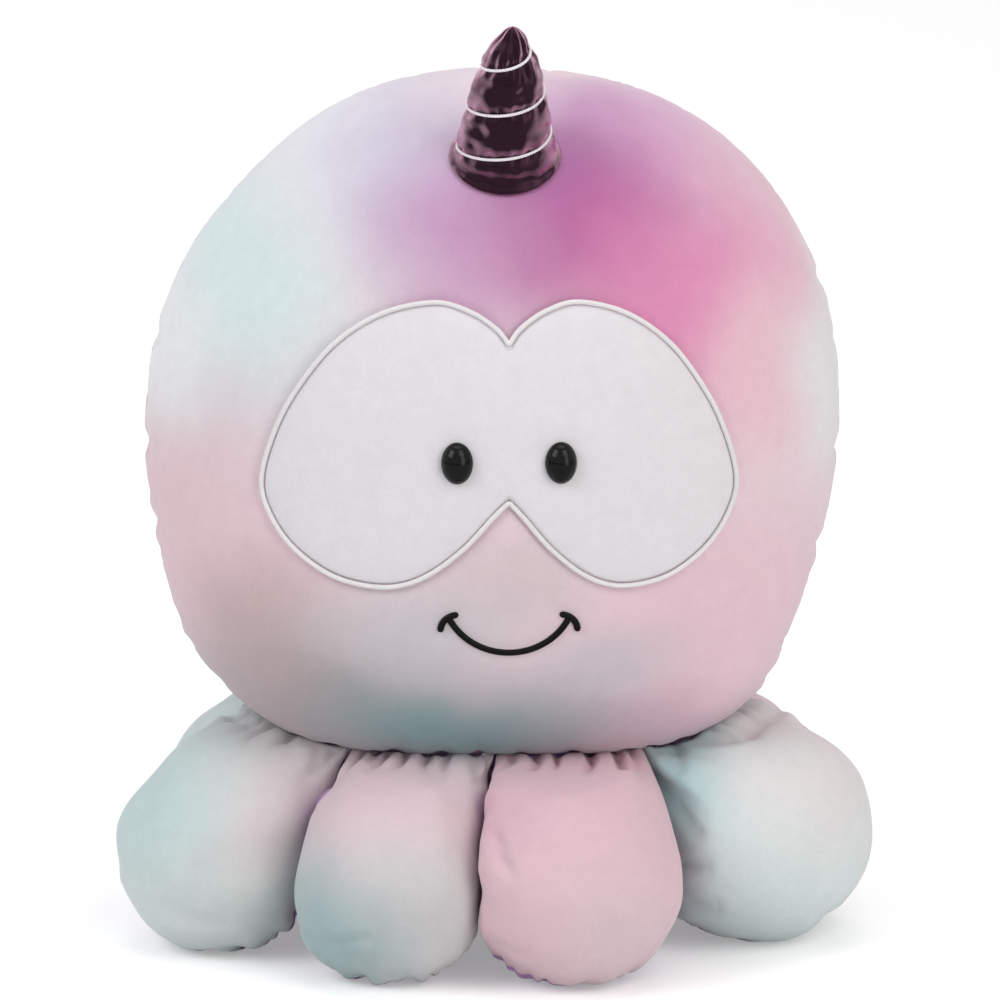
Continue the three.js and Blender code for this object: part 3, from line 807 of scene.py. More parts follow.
def panel_grid(facing):
    """A panel's outer face, as if it faced forwards: rows from its middle to its seams,
    columns round them."""
    def in_base_seam(slant, turn):
        points = upright_points(panel_directions(slant, turn))
        return in_base_oval(points) & (points[..., 2] < head_centre()[2])

    low, high = math.pi / 2, math.pi
    for _ in range(SEARCH_STEPS):
        seam_end = (low + high) / 2
        turn = np.array(seam_end)
        if in_base_seam(side_slant(turn, facing), turn):
            high = seam_end
        else:
            low = seam_end
    side = np.linspace(-seam_end, seam_end, SIDE_COLUMNS + 1)[:-1]
    base = np.linspace(seam_end, 2 * math.pi - seam_end, BASE_COLUMNS + 1)[:-1]
    turns = np.concatenate([side, base])
    limit = side_slant(turns, facing)
    meets_base = in_base_seam(limit, turns)
    least, most = np.zeros_like(turns), limit
    for _ in range(SEARCH_STEPS):
        edge = (least + most) / 2
        past = in_base_seam(edge, turns)
        least, most = np.where(past, least, edge), np.where(past, edge, most)
    edge = np.where(meets_base, most, limit)
    rows = np.concatenate([np.linspace(0, 0.9, 100)[:-1], np.linspace(0.9, 1, 17)])
    slants = rows[:, None] * edge[None, :]
    return lean_head(upright_points(panel_directions(slants, np.broadcast_to(turns, slants.shape))))


def seam_measures(grid):
    """For each point, how far along the panel's seam it is, and how far from it."""
    edge = grid[-1]
    gaps = np.linalg.norm(np.roll(edge, -1, axis=0) - edge, axis=-1)
    along = np.concatenate([[0], np.cumsum(gaps)[:-1]])
    away = np.cumsum(steps_between(grid[::-1], 0), axis=0)[::-1]
    return np.broadcast_to(along, away.shape), away, gaps.sum()


# Deeper puckers at places along the side seam that the eye catches: height (mm) and side
DEEP_PUCKERS = [(300, -1), (246, -1), (205, -1), (242, 1), (190, 1), (330, 1)]


# The head is gathered more below this level than on its crown: the level, over what height, by how much
GATHER_LEVEL = 240 * MM
GATHER_RUN = 90 * MM
GATHER_GAIN = 0.7

# The lumps of filling: their size on the front and back, how much higher they are on the back,
# how near a seam they fade, and how far inside it the face begins to lie flat
FRONT_LUMP = 75 * MM
BACK_LUMP = 80 * MM
BACK_LUMP_GAIN = 1.4
LUMP_FADE = 30 * MM
FLAT_FACE = 60 * MM

# The filling lies slack at the left of the crown: where (across and up, mm), how far and how wide
SLACK_PLACE = (-128, 382)
SLACK_DEPTH = 4 * MM
SLACK_REACH = 52 * MM


def dressed_panel(facing):
    """The front (-1) or back (1) panel, with its seam, puckers and lumps."""
    head = settings("head")
    grid = panel_grid(facing)
    along, away, run = seam_measures(grid)
    side_run = along[0, SIDE_COLUMNS]
    # The same folds run into the side seam from both panels
    folds = scattered_folds(11, head.puckers, side_run, *SIDE_FOLD)
    edge = grid[-1]
    for height, side in DEEP_PUCKERS:
        aim = np.array([side * head.half_width, height * MM])
        nearest = int(np.argmin(np.linalg.norm(edge[:, [0, 2]] - aim, axis=-1)))
        folds.append((along[0, nearest], *DEEP_FOLD))
    base_folds = scattered_folds(12 + facing, head.base_puckers, run - side_run, *SIDE_FOLD)
    folds += [(side_run + place, *rest) for place, *rest in base_folds]
    gathered = 1 + GATHER_GAIN * np.clip((GATHER_LEVEL - grid[..., 2]) / GATHER_RUN, 0, 1)
    depth = rolled_depth(away, settings("cloth").seam_roll)
    depth = depth + gathered * fold_depth(along, away, folds, run)
    fade = np.clip(away / LUMP_FADE, 0, 1)
    if facing < 0:
        fade = fade * (1 - np.clip((away - FLAT_FACE) / FLAT_FACE, 0, 1))
        depth -= soft_lumps(grid, 5, head.lumps, FRONT_LUMP) * fade
    else:
        grid = grid * np.array([1, -1, 1])
        depth -= soft_lumps(grid, 6, head.lumps * BACK_LUMP_GAIN, BACK_LUMP) * fade
    slack = np.hypot(grid[..., 0] - SLACK_PLACE[0] * MM, grid[..., 2] - SLACK_PLACE[1] * MM)
    depth += SLACK_DEPTH * bell(slack / SLACK_REACH)
    normals = outward_normals(grid, head_centre(), closed=True)
    grid = grid - normals * depth[..., None]
    if facing < 0:
        grid[..., 1] += face_dents(grid[..., 0], grid[..., 2]) * np.clip(-normals[..., 1], 0, 1)
    return grid


def base_grid():
    """The base panel's outer face: rows from its middle to the oval seam."""
    turns = np.linspace(0, 2 * math.pi, 161)[:-1]
    rows = np.concatenate([np.linspace(0, 0.92, 20)[:-1], np.linspace(0.92, 1, 8)])
    x, y = base_oval(turns)
    x = rows[:, None] * x[None, :]
    y = rows[:, None] * y[None, :]
    return np.stack([x, y, underside(x, y)], axis=-1)


# Face

# Half of the patch's outline from the upper notch round to the lower one,
# in shares of the reach sideways and of the half height upwards
LOBE_SHARES = [
    (0, 0.71), (0.06, 0.83), (0.17, 0.94), (0.31, 0.99), (0.52, 0.9), (0.71, 0.68),
    (0.86, 0.35), (0.95, 0.04), (1, -0.29), (0.97, -0.52), (0.88, -0.74), (0.74, -0.91),
    (0.6, -0.98), (0.46, -0.98), (0.33, -0.89), (0.19, -0.7), (0.07, -0.47), (0, -0.35),
]
LOBE_STEPS = 10
# The border's middle lies this share of its width outside the patch's edge
BORDER_SHARE = 0.35


def smooth_line(points, steps):
    """A smooth line through the points, with even steps between each two."""
    points = np.asarray(points, float)
    ends = np.concatenate([[2 * points[0] - points[1]], points, [2 * points[-1] - points[-2]]])
    line = []
    for before, start, end, after in zip(ends, ends[1:], ends[2:], ends[3:]):
        for step in range(steps):
            t = step / steps
            square = 2 * before - 5 * start + 4 * end - after
            cube = 3 * start - before - 3 * end + after
            line.append(0.5 * (2 * start + (end - before) * t + square * t ** 2 + cube * t ** 3))
    return np.array([*line, points[-1]])


def lobe_line(side):
    """One lobe's edge, from the upper notch to the lower one, across and up."""
    face = settings("face")
    reach = face.left_reach if side < 0 else face.right_reach
    points = [(face.middle + side * reach * across, face.level + face.half_height * up)
              for across, up in LOBE_SHARES]
    return smooth_line(points, LOBE_STEPS)


def patch_line():
    right = lobe_line(1)
    left = lobe_line(-1)[::-1]
    return np.concatenate([right[:-1], left[:-1]])


# The bow runs on a little to meet the short strokes, which bend from one angle to another
SMILE_RUN_ON = math.radians(4.5)
TICK_FROM = math.radians(87)
TICK_TO = math.radians(186)


def smile_lines():
    """The bow of the smile, and the short stroke across each of its ends."""
    face = settings("face")
    half = face.smile_half_width
    radius = (half ** 2 + face.smile_drop ** 2) / (2 * face.smile_drop)
    sweep = math.asin(half / radius) + SMILE_RUN_ON
    angles = np.linspace(-sweep, sweep, 120)
    bow = np.stack([face.middle + radius * np.sin(angles),
                    face.smile_level - face.smile_drop + radius * (1 - np.cos(angles))], axis=-1)
    turn = np.linspace(TICK_FROM, TICK_TO, 30)
    across = half - face.tick_inset - face.tick_radius * np.cos(turn)
    up = face.smile_level - face.tick_drop + face.tick_radius * np.sin(turn)
    return [bow, *(np.stack([face.middle + side * across, up], axis=-1) for side in (-1, 1))]


def border_line(side):
    """The middle of the satin border round one lobe, just outside the patch's edge."""
    face = settings("face")
    line = lobe_line(side)
    heading = unit(np.gradient(line, axis=0))
    out = np.stack([side * -heading[:, 1], side * heading[:, 0]], axis=-1)
    line = line + out * face.border_width * BORDER_SHARE
    line[:, 0] = np.where(side * (line[:, 0] - face.middle) < 0, face.middle, line[:, 0])
    return line


def nearest_on_line(places, line):
    """Distance from each place to a line of points, and the share of the line that lies before it."""
    least = np.full(places.shape[:-1], np.inf)
    passed = np.zeros(places.shape[:-1])
    gaps = np.linalg.norm(np.diff(line, axis=0), axis=-1)
    before = np.concatenate([[0], np.cumsum(gaps)])
    for index, gap in enumerate(gaps):
        ahead = (line[index + 1] - line[index]) / max(gap, TINY)
        offset = places - line[index]
        run = np.clip(offset @ ahead, 0, gap)
        away = np.hypot(*np.moveaxis(offset - run[..., None] * ahead, -1, 0))
        passed = np.where(away < least, (before[index] + run) / before[-1], passed)
        least = np.minimum(least, away)
    return least, passed


def eye_places():
    return [(middle(node, "x"), middle(node, "z")) for node in ("left_eye", "right_eye")]


def stitch_distance(x, z):
    """Distances from each place across and up to the edges of the border and of the smile's strokes."""
    face = settings("face")
    places = np.stack([x, z], axis=-1)
    border = np.minimum(*(nearest_on_line(places, border_line(side))[0] for side in (-1, 1)))
    # Every fourth point of a stroke is near enough here
    strokes = np.min([nearest_on_line(places, line[::4])[0] for line in smile_lines()], axis=0)
    return border - face.border_width / 2, strokes - face.stroke / 2


# Dents in the face, each a depth and a reach: along the border, close in beside it, along the smile
BORDER_DENT = (1.0 * MM, 5 * MM)
BORDER_CREASE = (1.1 * MM, 1.2 * MM)
BORDER_CREASE_PLACE = 0.2 * MM
SMILE_DENT = (0.9 * MM, 3.5 * MM)
# Round each eye: the depth, then the reach across and up
EYE_DENT = (1.6 * MM, 12 * MM, 14 * MM)


def face_dents(x, z):
    """How far stitches and eyes draw the face in, at places across and up."""
    border, strokes = stitch_distance(x, z)
    dent = 0
    for (deep, reach), away in (
        (BORDER_DENT, border),
        (BORDER_CREASE, border - BORDER_CREASE_PLACE),
        (SMILE_DENT, strokes),
    ):
        dent = dent + deep * bell(away / reach)
    deep, wide, high = EYE_DENT
    for eye_x, eye_z in eye_places():
        dent = dent + deep * bell((x - eye_x) / wide) * bell((z - eye_z) / high)
    return dent


def face_grid(x, z, growth):
    return np.stack([x, face_front(x, z, growth), z], axis=-1)


def head_normals(x, z):
    """Unit normals of the face at places across and up."""
    right = face_grid(x + MM, z, 0) - face_grid(x - MM, z, 0)
    up = face_grid(x, z + MM, 0) - face_grid(x, z - MM, 0)
    return unit(np.cross(right, up))


# The threads' ridges and the flat underside, in shares of a stitch's rise
STITCH_RIDGE = 0.07
STITCH_UNDERSIDE = 0.35
STITCH_SIDES = 12


def satin_tube(name, line, width, rise, base, material):
    """A raised row of satin stitch along a line on the face, with its threads as ridges across it."""
    face = settings("face")
    gaps = np.linalg.norm(np.diff(line, axis=0), axis=-1)
    run = np.concatenate([[0], np.cumsum(gaps)])
    steps = int(run[-1] / (face.thread / 3))
    even = np.linspace(0, run[-1], steps)
    x = np.interp(even, run, line[:, 0])
    z = np.interp(even, run, line[:, 1])
    centre = face_grid(x, z, base)
    out = head_normals(x, z)
    ahead = unit(np.gradient(centre, axis=0))
    across = unit(np.cross(ahead, out))
    ends = np.minimum(even, run[-1] - even)
    taper = np.sqrt(np.clip(1 - (1 - np.clip(ends / (width / 2), 0, 1)) ** 2, 0.02, 1))
    ridge = 1 + STITCH_RIDGE * np.cos(2 * math.pi * even / face.thread)
    angles = np.linspace(0, 2 * math.pi, STITCH_SIDES + 1)[:-1]
    sections = []
    for angle in angles:
        lift = np.sin(angle)
        lift = lift if lift > 0 else lift * STITCH_UNDERSIDE
        sections.append(centre + across * (np.cos(angle) * width / 2 * taper)[:, None]
                        + out * (lift * rise * taper * ridge)[:, None])
    return tube(name, np.stack(sections, axis=1), material)


# Horn

def horn_frame():
    """The horn's own place: its foot on the head, and its lean."""
    horn = settings("horn")
    x, y = horn.across, -horn.forward * settings("head").half_depth
    z = head_centre()[2] + head_reach(np.array([[x, y, 0.0]]), 2, 1)[0]
    return (Matrix.Translation((x, y, z)) @ Matrix.Rotation(horn.side_lean, 4, "Y")
            @ Matrix.Rotation(horn.forward_lean, 4, "X"))


def in_frame(grid, place):
    turned = np.array(place.to_3x3())
    return grid @ turned.T + np.array(place.translation)


# Radius of the horn at heights up it, in shares of the length and of the rim's radius
HORN_SHARES = [
    (-0.2, 0.92), (0, 0.895), (0.07, 0.865), (0.147, 0.825), (0.263, 0.765), (0.41, 0.69),
    (0.6, 0.575), (0.734, 0.46), (0.866, 0.3), (0.95, 0.16), (0.985, 0.08), (1, 0),
]


# How much fuller the filling makes the horn in its middle
HORN_PUFF = 0.8 * MM


def horn_radius(height):
    """Radius of the stuffed horn, a little fuller in its middle."""
    horn = settings("horn")
    tall, wide = smooth_line(HORN_SHARES, 12).T
    puff = HORN_PUFF * np.sin(math.pi * np.clip(height / horn.length, 0, 1)) ** 0.5
    return np.interp(height / horn.length, tall, wide) * horn.rim + puff


def cord_height(turn):
    """Height of the cord at an angle that grows with each turn."""
    horn = settings("horn")
    return horn.cord_start + horn.pitch * (turn - horn.cord_from) / (2 * math.pi)


# The cord draws the foil in as far away as this, and pinches it into small folds as far as that
CORD_REACH = 3.6 * MM
PINCH_REACH = 6 * MM
# The pull of the cord sets in over this angle at each end, and is looked for in this many turns
CORD_FADE = 0.3
CORD_WRAPS = 5


def cord_nearness(height, turn, reach):
    """1 under the cord, fading to 0 beyond the reach, at heights and angles from 0 to a full turn."""
    horn = settings("horn")
    last = horn.cord_from + horn.cord_turns * 2 * math.pi
    near = np.zeros_like(height)
    for wrap in range(CORD_WRAPS):
        wound = turn + wrap * 2 * math.pi
        held = np.clip((wound - horn.cord_from) / CORD_FADE, 0, 1)
        held = held * np.clip((last - wound) / CORD_FADE, 0, 1)
        near = np.maximum(near, held * bell((height - cord_height(wound)) / reach))
    return near


def horn_points(turn, radius, height):
    deep = radius * settings("horn").depth
    return np.stack([radius * np.sin(turn), -deep * np.cos(turn), height], axis=-1)


# The horn's side meets the head within this height of its foot, up or down
FOOT_SEARCH = 30 * MM


def horn_foot(turn, place):
    """Height at which the horn's side meets the head, at each angle."""
    low, high = np.full_like(turn, -FOOT_SEARCH), np.full_like(turn, FOOT_SEARCH)
    for _ in range(SEARCH_STEPS):
        trial = (low + high) / 2
        inside = head_sum(in_frame(horn_points(turn, horn_radius(trial), trial), place)) < 1
        low, high = np.where(inside, trial, low), np.where(inside, high, trial)
    return low


# The rolled hem at the horn's foot: how far out and up each point lies (mm)
HORN_HEM = [(-2.4, 0.1), (-0.6, -0.2), (0.5, 0.1), (1.1, 0.9), (1.15, 1.9), (0.6, 2.8), (0.1, 3.6)]
# The cover's side starts this far above the head, over the hem, and its flare has this reach
HEM_HEIGHT = 4.4 * MM
HEM_REACH = 4 * MM
# Crumples grow in over this height above the head, and fade out where the horn is thinner than this
CRUMPLE_RISE = 8 * MM
CRUMPLE_RADIUS = 6 * MM
# One large fold near the tip: its depth, angle from the front, slant, level, width and height
HORN_FOLD = 2.2 * MM
HORN_FOLD_TURN = 0.75
HORN_FOLD_SLANT = 0.5
HORN_FOLD_LEVEL = 0.8
HORN_FOLD_WIDTH = 0.2
HORN_FOLD_HEIGHT = 0.14


def horn_grid(place):
    """The foil cover: rows from its hem to the tip, columns round it."""
    horn = settings("horn")
    turns = np.linspace(0, 2 * math.pi, 181)[:-1]
    foot = horn_foot(turns, place)
    hem = np.array(HORN_HEM) * MM
    tip = 0.9 + 0.1 * np.sin(np.linspace(0, math.pi / 2, 16)[1:])
    body = np.concatenate([np.linspace(0, 0.9, 100), tip])
    first = foot + HEM_HEIGHT
    height = np.concatenate([foot + hem[:, 1, None], first + body[:, None] * (horn.length - first)])
    turn = np.broadcast_to(turns, height.shape)
    tall = height / horn.length
    rise = height - foot
    bulge = np.concatenate([hem[:, 0, None] + 0 * turns, np.zeros((len(body), len(turns)))])
    radius = horn_radius(height)
    full = np.clip(radius / CRUMPLE_RADIUS, 0, 1)
    # Crumples that run lengthways, and small ones that the cord pinches
    crumples = (0.7 * MM * np.sin(turn * 5 + 5 * tall) * tall ** 2
                + 0.3 * MM * np.sin(turn * 9 - 11 * tall + 1)
                + 0.45 * MM * np.sin(turn * 4 + 26 * tall) * np.sin(turn * 3 - 15 * tall + 2))
    pinches = 0.35 * MM * np.sin(turn * 17 + 2 * np.sin(turn * 3))
    pinched = pinches * cord_nearness(height, turn, PINCH_REACH)
    above = tall - HORN_FOLD_LEVEL
    beside = turn - HORN_FOLD_TURN - HORN_FOLD_SLANT * above
    fold = HORN_FOLD * bell(beside / HORN_FOLD_WIDTH) * bell(above / HORN_FOLD_HEIGHT)
    drawn = horn.sink * cord_nearness(height, turn, CORD_REACH)
    shaped = crumples + pinched - fold - drawn
    radius = radius + shaped * full * np.clip(rise / CRUMPLE_RISE, 0, 1)
    radius = radius + horn.flare * bell(rise / HEM_REACH) + bulge
    return horn_points(turn, radius, height)


# Arms

# Stretch of the base seam in shares of a turn from the right, foot's place in shares
# of the head's half width and half depth, and foot's share of the foot radius
ARM_SHARES = {
    "right_back": (0.03, 0.15, 0.717, 0.48, 0.84),
    "back_right": (0.15, 0.25, 0.289, 0.992, 0.92),
    "back_left": (0.25, 0.35, -0.231, 1.03, 0.96),
    "left_back": (0.35, 0.5, -0.717, 0.448, 0.84),
    "left_front": (0.5, 0.65, -0.806, -0.522, 0.94),
    "front_left": (0.65, 0.75, -0.3, -0.989, 0.88),
    "front_right": (0.75, 0.853, 0.211, -1.014, 1.0),
    "right_front": (0.853, 1.03, 0.754, -0.358, 1.12),
}
# How early on the way down an arm swells to its full width and thickness
WIDTH_SWELL = 2.6
THICKNESS_SWELL = 2.2
# How far an arm lifts, and how far its seam leaves its middle on the foot
ARM_LIFT = math.radians(25)
FOOT_SEAM_TILT = math.radians(24)

# How far the outer panel wraps under at its early and late side seam, in degrees
PLAIN_WRAP = (20, 20)
SEAM_WRAP = {
    "left_front": (16, 30),
    "front_left": (24, 24),
    "front_right": (28, 24),
    "right_front": (30, 14),
}


def seam_points(shares):
    turn = 2 * math.pi * np.asarray(shares, float)
    x, y = base_oval(turn)
    return np.stack([x, y, underside(x, y)], axis=-1)


class Arm:
    """Where an arm's root and foot are, and which ways it runs."""

    def __init__(self, name):
        head, sizes = settings("head"), settings("arm")
        self.name = name
        self.start, self.end, across, back, foot = ARM_SHARES[name]
        self.radius = sizes.foot_radius * foot
        self.root = seam_points([(self.start + self.end) / 2])[0]
        rest_height = self.radius - sizes.foot_sink
        self.foot = np.array([head.half_width * across, head.half_depth * back, rest_height])
        self.along = unit(self.foot - self.root)
        wide = seam_points([self.end])[0] - seam_points([self.start])[0]
        self.wide = unit(wide - self.along * (wide @ self.along))
        self.thick = np.cross(self.along, self.wide)
        self.outwards = unit(np.array([*(self.foot - self.root)[:2], 0.0]))

    def hinge(self):
        """The outer edge of the root, on the head's underside."""
        place = self.root + self.outwards * settings("arm").root_half
        place[2] = underside(place[0], place[1])
        return place


def pressed_plane(earlier, later):
    """The upright plane where two neighbours are pressed together, facing the later one."""
    seam = np.array(base_oval(2 * math.pi * earlier.end))
    between = (later.foot - earlier.foot)[:2]
    reach = (np.linalg.norm(between) + earlier.radius - later.radius) / 2
    between = unit(between)
    outwards = np.array([between[1], -between[0]]) * settings("arm").foot_radius
    line = earlier.foot[:2] + between * reach - seam + outwards
    normal = unit(np.array([-line[1], line[0], 0.0]))
    return np.array([*seam, 0.0]), normal


# How far down some arms their early seam shows, and how far it rolls round to the front, in degrees
NO_PEEK = (0.5, 0)
SEAM_PEEK = {
    "front_left": (0.42, 60),
    "front_right": (0.5, 58),
}
PEEK_REACH = 0.22

# Columns across a panel, rows down the arm and rows over its foot
ARM_COLUMNS = 161
NECK_ROWS = 90
FOOT_ROWS = 56
# The rows crowd towards the root by this power
ROW_CROWDING = 1.2
# The root opens to its full thickness in this share of the way down
ROOT_OPENING = 0.1
# The root stays this share within its stretch of the base seam
ROOT_FIT = 0.985


def arm_grid(arm, side):
    """An arm's bare outer (1) or inner (-1) panel: rows from the root to the end of the foot,
    columns from the late side seam to the early one. It gives the columns' turns too."""
    sizes = settings("arm")
    neck = np.linspace(0, 1, NECK_ROWS) ** ROW_CROWDING
    bend = np.linspace(0, math.pi / 2, FOOT_ROWS)[1:]
    share_down = np.concatenate([neck, np.ones_like(bend)])[:, None]
    bent = np.concatenate([np.zeros_like(neck), bend])[:, None]
    # The outer panel wraps further under at the root
    more = sizes.root_wrap * (1 - share_down) ** 3
    early, late = (math.radians(wrap) + more for wrap in SEAM_WRAP.get(arm.name, PLAIN_WRAP))
    # Halfway down, the early seam of some arms rolls round to the front
    place, peek = SEAM_PEEK.get(arm.name, NO_PEEK)
    early = early - math.radians(peek) * bell((share_down - place) / PEEK_REACH)
    first, last = (-late, math.pi + early) if side > 0 else (-late, early - math.pi)
    turns = first + (last - first) * np.linspace(0, 1, ARM_COLUMNS)
    widened = 1 - (1 - share_down) ** WIDTH_SWELL
    thickened = 1 - (1 - share_down) ** THICKNESS_SWELL
    opened = np.clip(share_down / ROOT_OPENING, 0, 1)
    root_half = sizes.root_fold + (sizes.root_half - sizes.root_fold) * opened
    half_wide = arm.radius * widened * np.cos(bent)
    half_thick = (root_half + (arm.radius - root_half) * thickened) * np.cos(bent)
    centre = arm.root + (arm.foot - arm.root) * share_down[..., None]
    centre = centre + np.array([0, 0, sizes.tuck]) * (1 - opened)[..., None]
    shares = arm.start + (arm.end - arm.start) * (1 + np.cos(turns) * ROOT_FIT) / 2
    seam = seam_points(shares) - arm.root
    ring = (arm.wide * (np.cos(turns) * half_wide)[..., None]
            + arm.thick * (np.sin(turns) * half_thick)[..., None])
    # The seam leaves the arm's middle on the foot and ends under it
    end = arm.along * math.cos(FOOT_SEAM_TILT) - arm.thick * math.sin(FOOT_SEAM_TILT)
    foot = unit(ring + end * (arm.radius * np.sin(bent))[..., None]) * arm.radius
    ring = np.where(bent[..., None] > 0, foot, ring)
    # Neighbours crowd each other, so each arm is fuller sideways than its round foot
    ring = ring + arm.wide * ((ring @ arm.wide) * sizes.fullness * widened)[..., None]
    return centre + seam * (1 - widened)[..., None] + ring, turns


# Creases in the arms as seen from the front: a line through places across and up (mm),
# then the depth and the width (mm)
ARM_CREASES = {
    "left_front": [
        ([(-136, 104), (-131, 99), (-124, 96)], 4.1, 4.2),
        ([(-101, 90), (-104, 82)], 2.7, 3.7),
        ([(-84, 82), (-88, 79), (-90, 74)], 2.7, 3.7),
        ([(-186, 10), (-178, 2), (-170, -4)], 3.0, 4.2),
        ([(-166, 2), (-150, -4), (-136, -6)], 2.2, 4.2),
    ],
    "front_left": [
        ([(-58, 83), (-63, 73)], 4.1, 3.7),
        ([(-34, 83), (-33, 68)], 4.3, 3.7),
        ([(-26, 83), (-27, 70)], 3.5, 3.7),
        ([(-10, 78), (-8, 68)], 4.1, 3.7),
        ([(-83, 56), (-80, 54)], 2.4, 4.2),
        ([(-88, -12), (-77, -14), (-65, -13)], 4.3, 3.7),
        ([(-84, -17), (-74, -20), (-63, -27)], 3.2, 3.7),
    ],
    "front_right": [
        ([(19, 83), (20, 72)], 3.5, 3.7),
        ([(33, 83), (31, 74)], 3.5, 3.7),
        ([(49, 83), (46, 71)], 4.1, 3.7),
        ([(61, 84), (62, 76), (70, 72), (74, 65)], 4.6, 3.7),
        ([(-3, 42), (2, 34)], 3.5, 3.7),
        ([(-1, 33), (3, 27), (8, 20)], 3.8, 3.7),
        ([(-10, 17), (-7, 8), (-5, 1)], 2.7, 3.7),
        ([(-4, -14), (5, -18), (15, -20)], 3.5, 3.7),
        ([(-5, -20), (6, -26), (17, -31)], 3.0, 3.7),
    ],
    "right_front": [
        ([(76, 70), (88, 56), (100, 40)], 5.7, 4.7),
        ([(80, 68), (92, 60), (103, 49)], 3.5, 4.2),
        ([(81, 83), (98, 86), (119, 88), (141, 100)], 6.1, 4.2),
        ([(83, 80), (90, 71)], 4.1, 3.7),
        ([(90, 83), (93, 72)], 3.5, 3.7),
        ([(90, 26), (97, 23), (105, 22)], 3.2, 3.7),
        ([(92, 8), (101, 3), (110, 2)], 3.2, 3.7),
        ([(154, 93), (164, 81)], 2.7, 4.2),
        ([(161, -4), (171, -2)], 2.4, 3.7),
    ],
}
# The creases are placed as they are seen from this far above the floor's level
CREASE_VIEW = math.radians(15)


def crease_depth(arm, grid):
    """Depth of the creases across an arm's outer face."""
    up = grid[..., 2] * math.cos(CREASE_VIEW) + grid[..., 1] * math.sin(CREASE_VIEW)
    places = np.stack([grid[..., 0], up], axis=-1)
    depth = np.zeros(grid.shape[:-1])
    for corners, deep, wide in ARM_CREASES.get(arm.name, []):
        line = smooth_line(np.array(corners) * MM, 6)
        away, passed = nearest_on_line(places, line)
        fade = np.sqrt(np.sin(math.pi * np.clip(passed, 0.08, 0.92)))
        depth += deep * MM * fade * creased(away / (wide * MM), 0.35, 2.2)
    return depth


# A pleat's width in shares of the root's, how far down it doubles, and how long its bends are
PLEAT_WIDTH = 0.026
PLEAT_SPREAD = 60 * MM
PLEAT_BEND = 9 * MM


def gather_depth(seed, root_share, from_root):
    """Depth of the pleats that gather the cloth into the root seam; each bends a little."""
    sizes = settings("arm")
    draw = random.Random(seed)
    depth = np.zeros_like(from_root)
    for index in range(sizes.gathers):
        place = (index + draw.uniform(0.2, 0.8)) / sizes.gathers
        deep = sizes.gather_depth * draw.uniform(0.55, 1.0)
        long = sizes.gather_length * draw.uniform(0.7, 1.25)
        sway = draw.uniform(-0.05, 0.05)
        width = PLEAT_WIDTH * draw.uniform(0.8, 1.3) * (1 + from_root / PLEAT_SPREAD)
        offset = (root_share - place - sway * np.sin(from_root / PLEAT_BEND)) / width
        fade = np.exp(-(from_root / long) ** 4)
        depth += deep * fade * creased(offset, 0.3, 2)
    return depth


# How softly the neighbours, the lifted arm's lid, the head and the floor press an arm, in shares
# of its softness; its neighbours press more softly from the root to this share of the rows down
ROOT_CROWDING = 2
FOOT_CROWDING = 9
CROWDING_END = 0.3
LID_SOFTNESS = 7
HEAD_SOFTNESS = 1.5
FLOOR_SOFTNESS = 5
# Between an arm and the head
HEAD_GAP = 0.3 * MM


def pressed_arm(arm, grid, neighbours, softness):
    """Points held off the neighbours, the head and the floor, as softly as the softness says."""
    before, after = neighbours
    inset = settings("arm").spacing / 2
    # The arms crowd hard at their roots and touch more softly on the way down
    down = np.linspace(0, 1, len(grid))
    crowding = np.interp(down, [0, CROWDING_END], [ROOT_CROWDING, FOOT_CROWDING])
    crowded = softness * crowding[:, None]
    for place, normal in (before, (after[0], -after[1])):
        grid = held_off_plane(grid, place + normal * inset, normal, crowded)
    hinge = arm.hinge()
    step = arm.outwards * MM
    rise = underside(hinge[0] + step[0], hinge[1] + step[1]) - hinge[2]
    slope = math.atan2(rise, MM) - ARM_LIFT
    lid = np.array([*(arm.outwards[:2] * math.sin(slope)), -math.cos(slope)])
    grid = held_off_plane(grid, hinge - np.array([0, 0, HEAD_GAP]), lid, LID_SOFTNESS * softness)
    grid = held_off_head(grid, HEAD_GAP, HEAD_SOFTNESS * softness)
    return held_off_plane(grid, np.zeros(3), np.array([0.0, 0.0, 1.0]), FLOOR_SOFTNESS * softness)


# From the root, the seam's roll, the folds and lumps, and the pleats grow in over these lengths
ROLL_RUN = 45 * MM
FOLD_RUN = 30 * MM
PLEAT_RUN = 5 * MM
# The roll is this share of itself at the root, and the arms' folds are deeper than drawn by this
ROOT_ROLL = 0.15
ARM_FOLD_GAIN = 1.3
# Height and size of the lumps of filling
ARM_LUMP_HEIGHT = 1.1 * MM
ARM_LUMP = 45 * MM


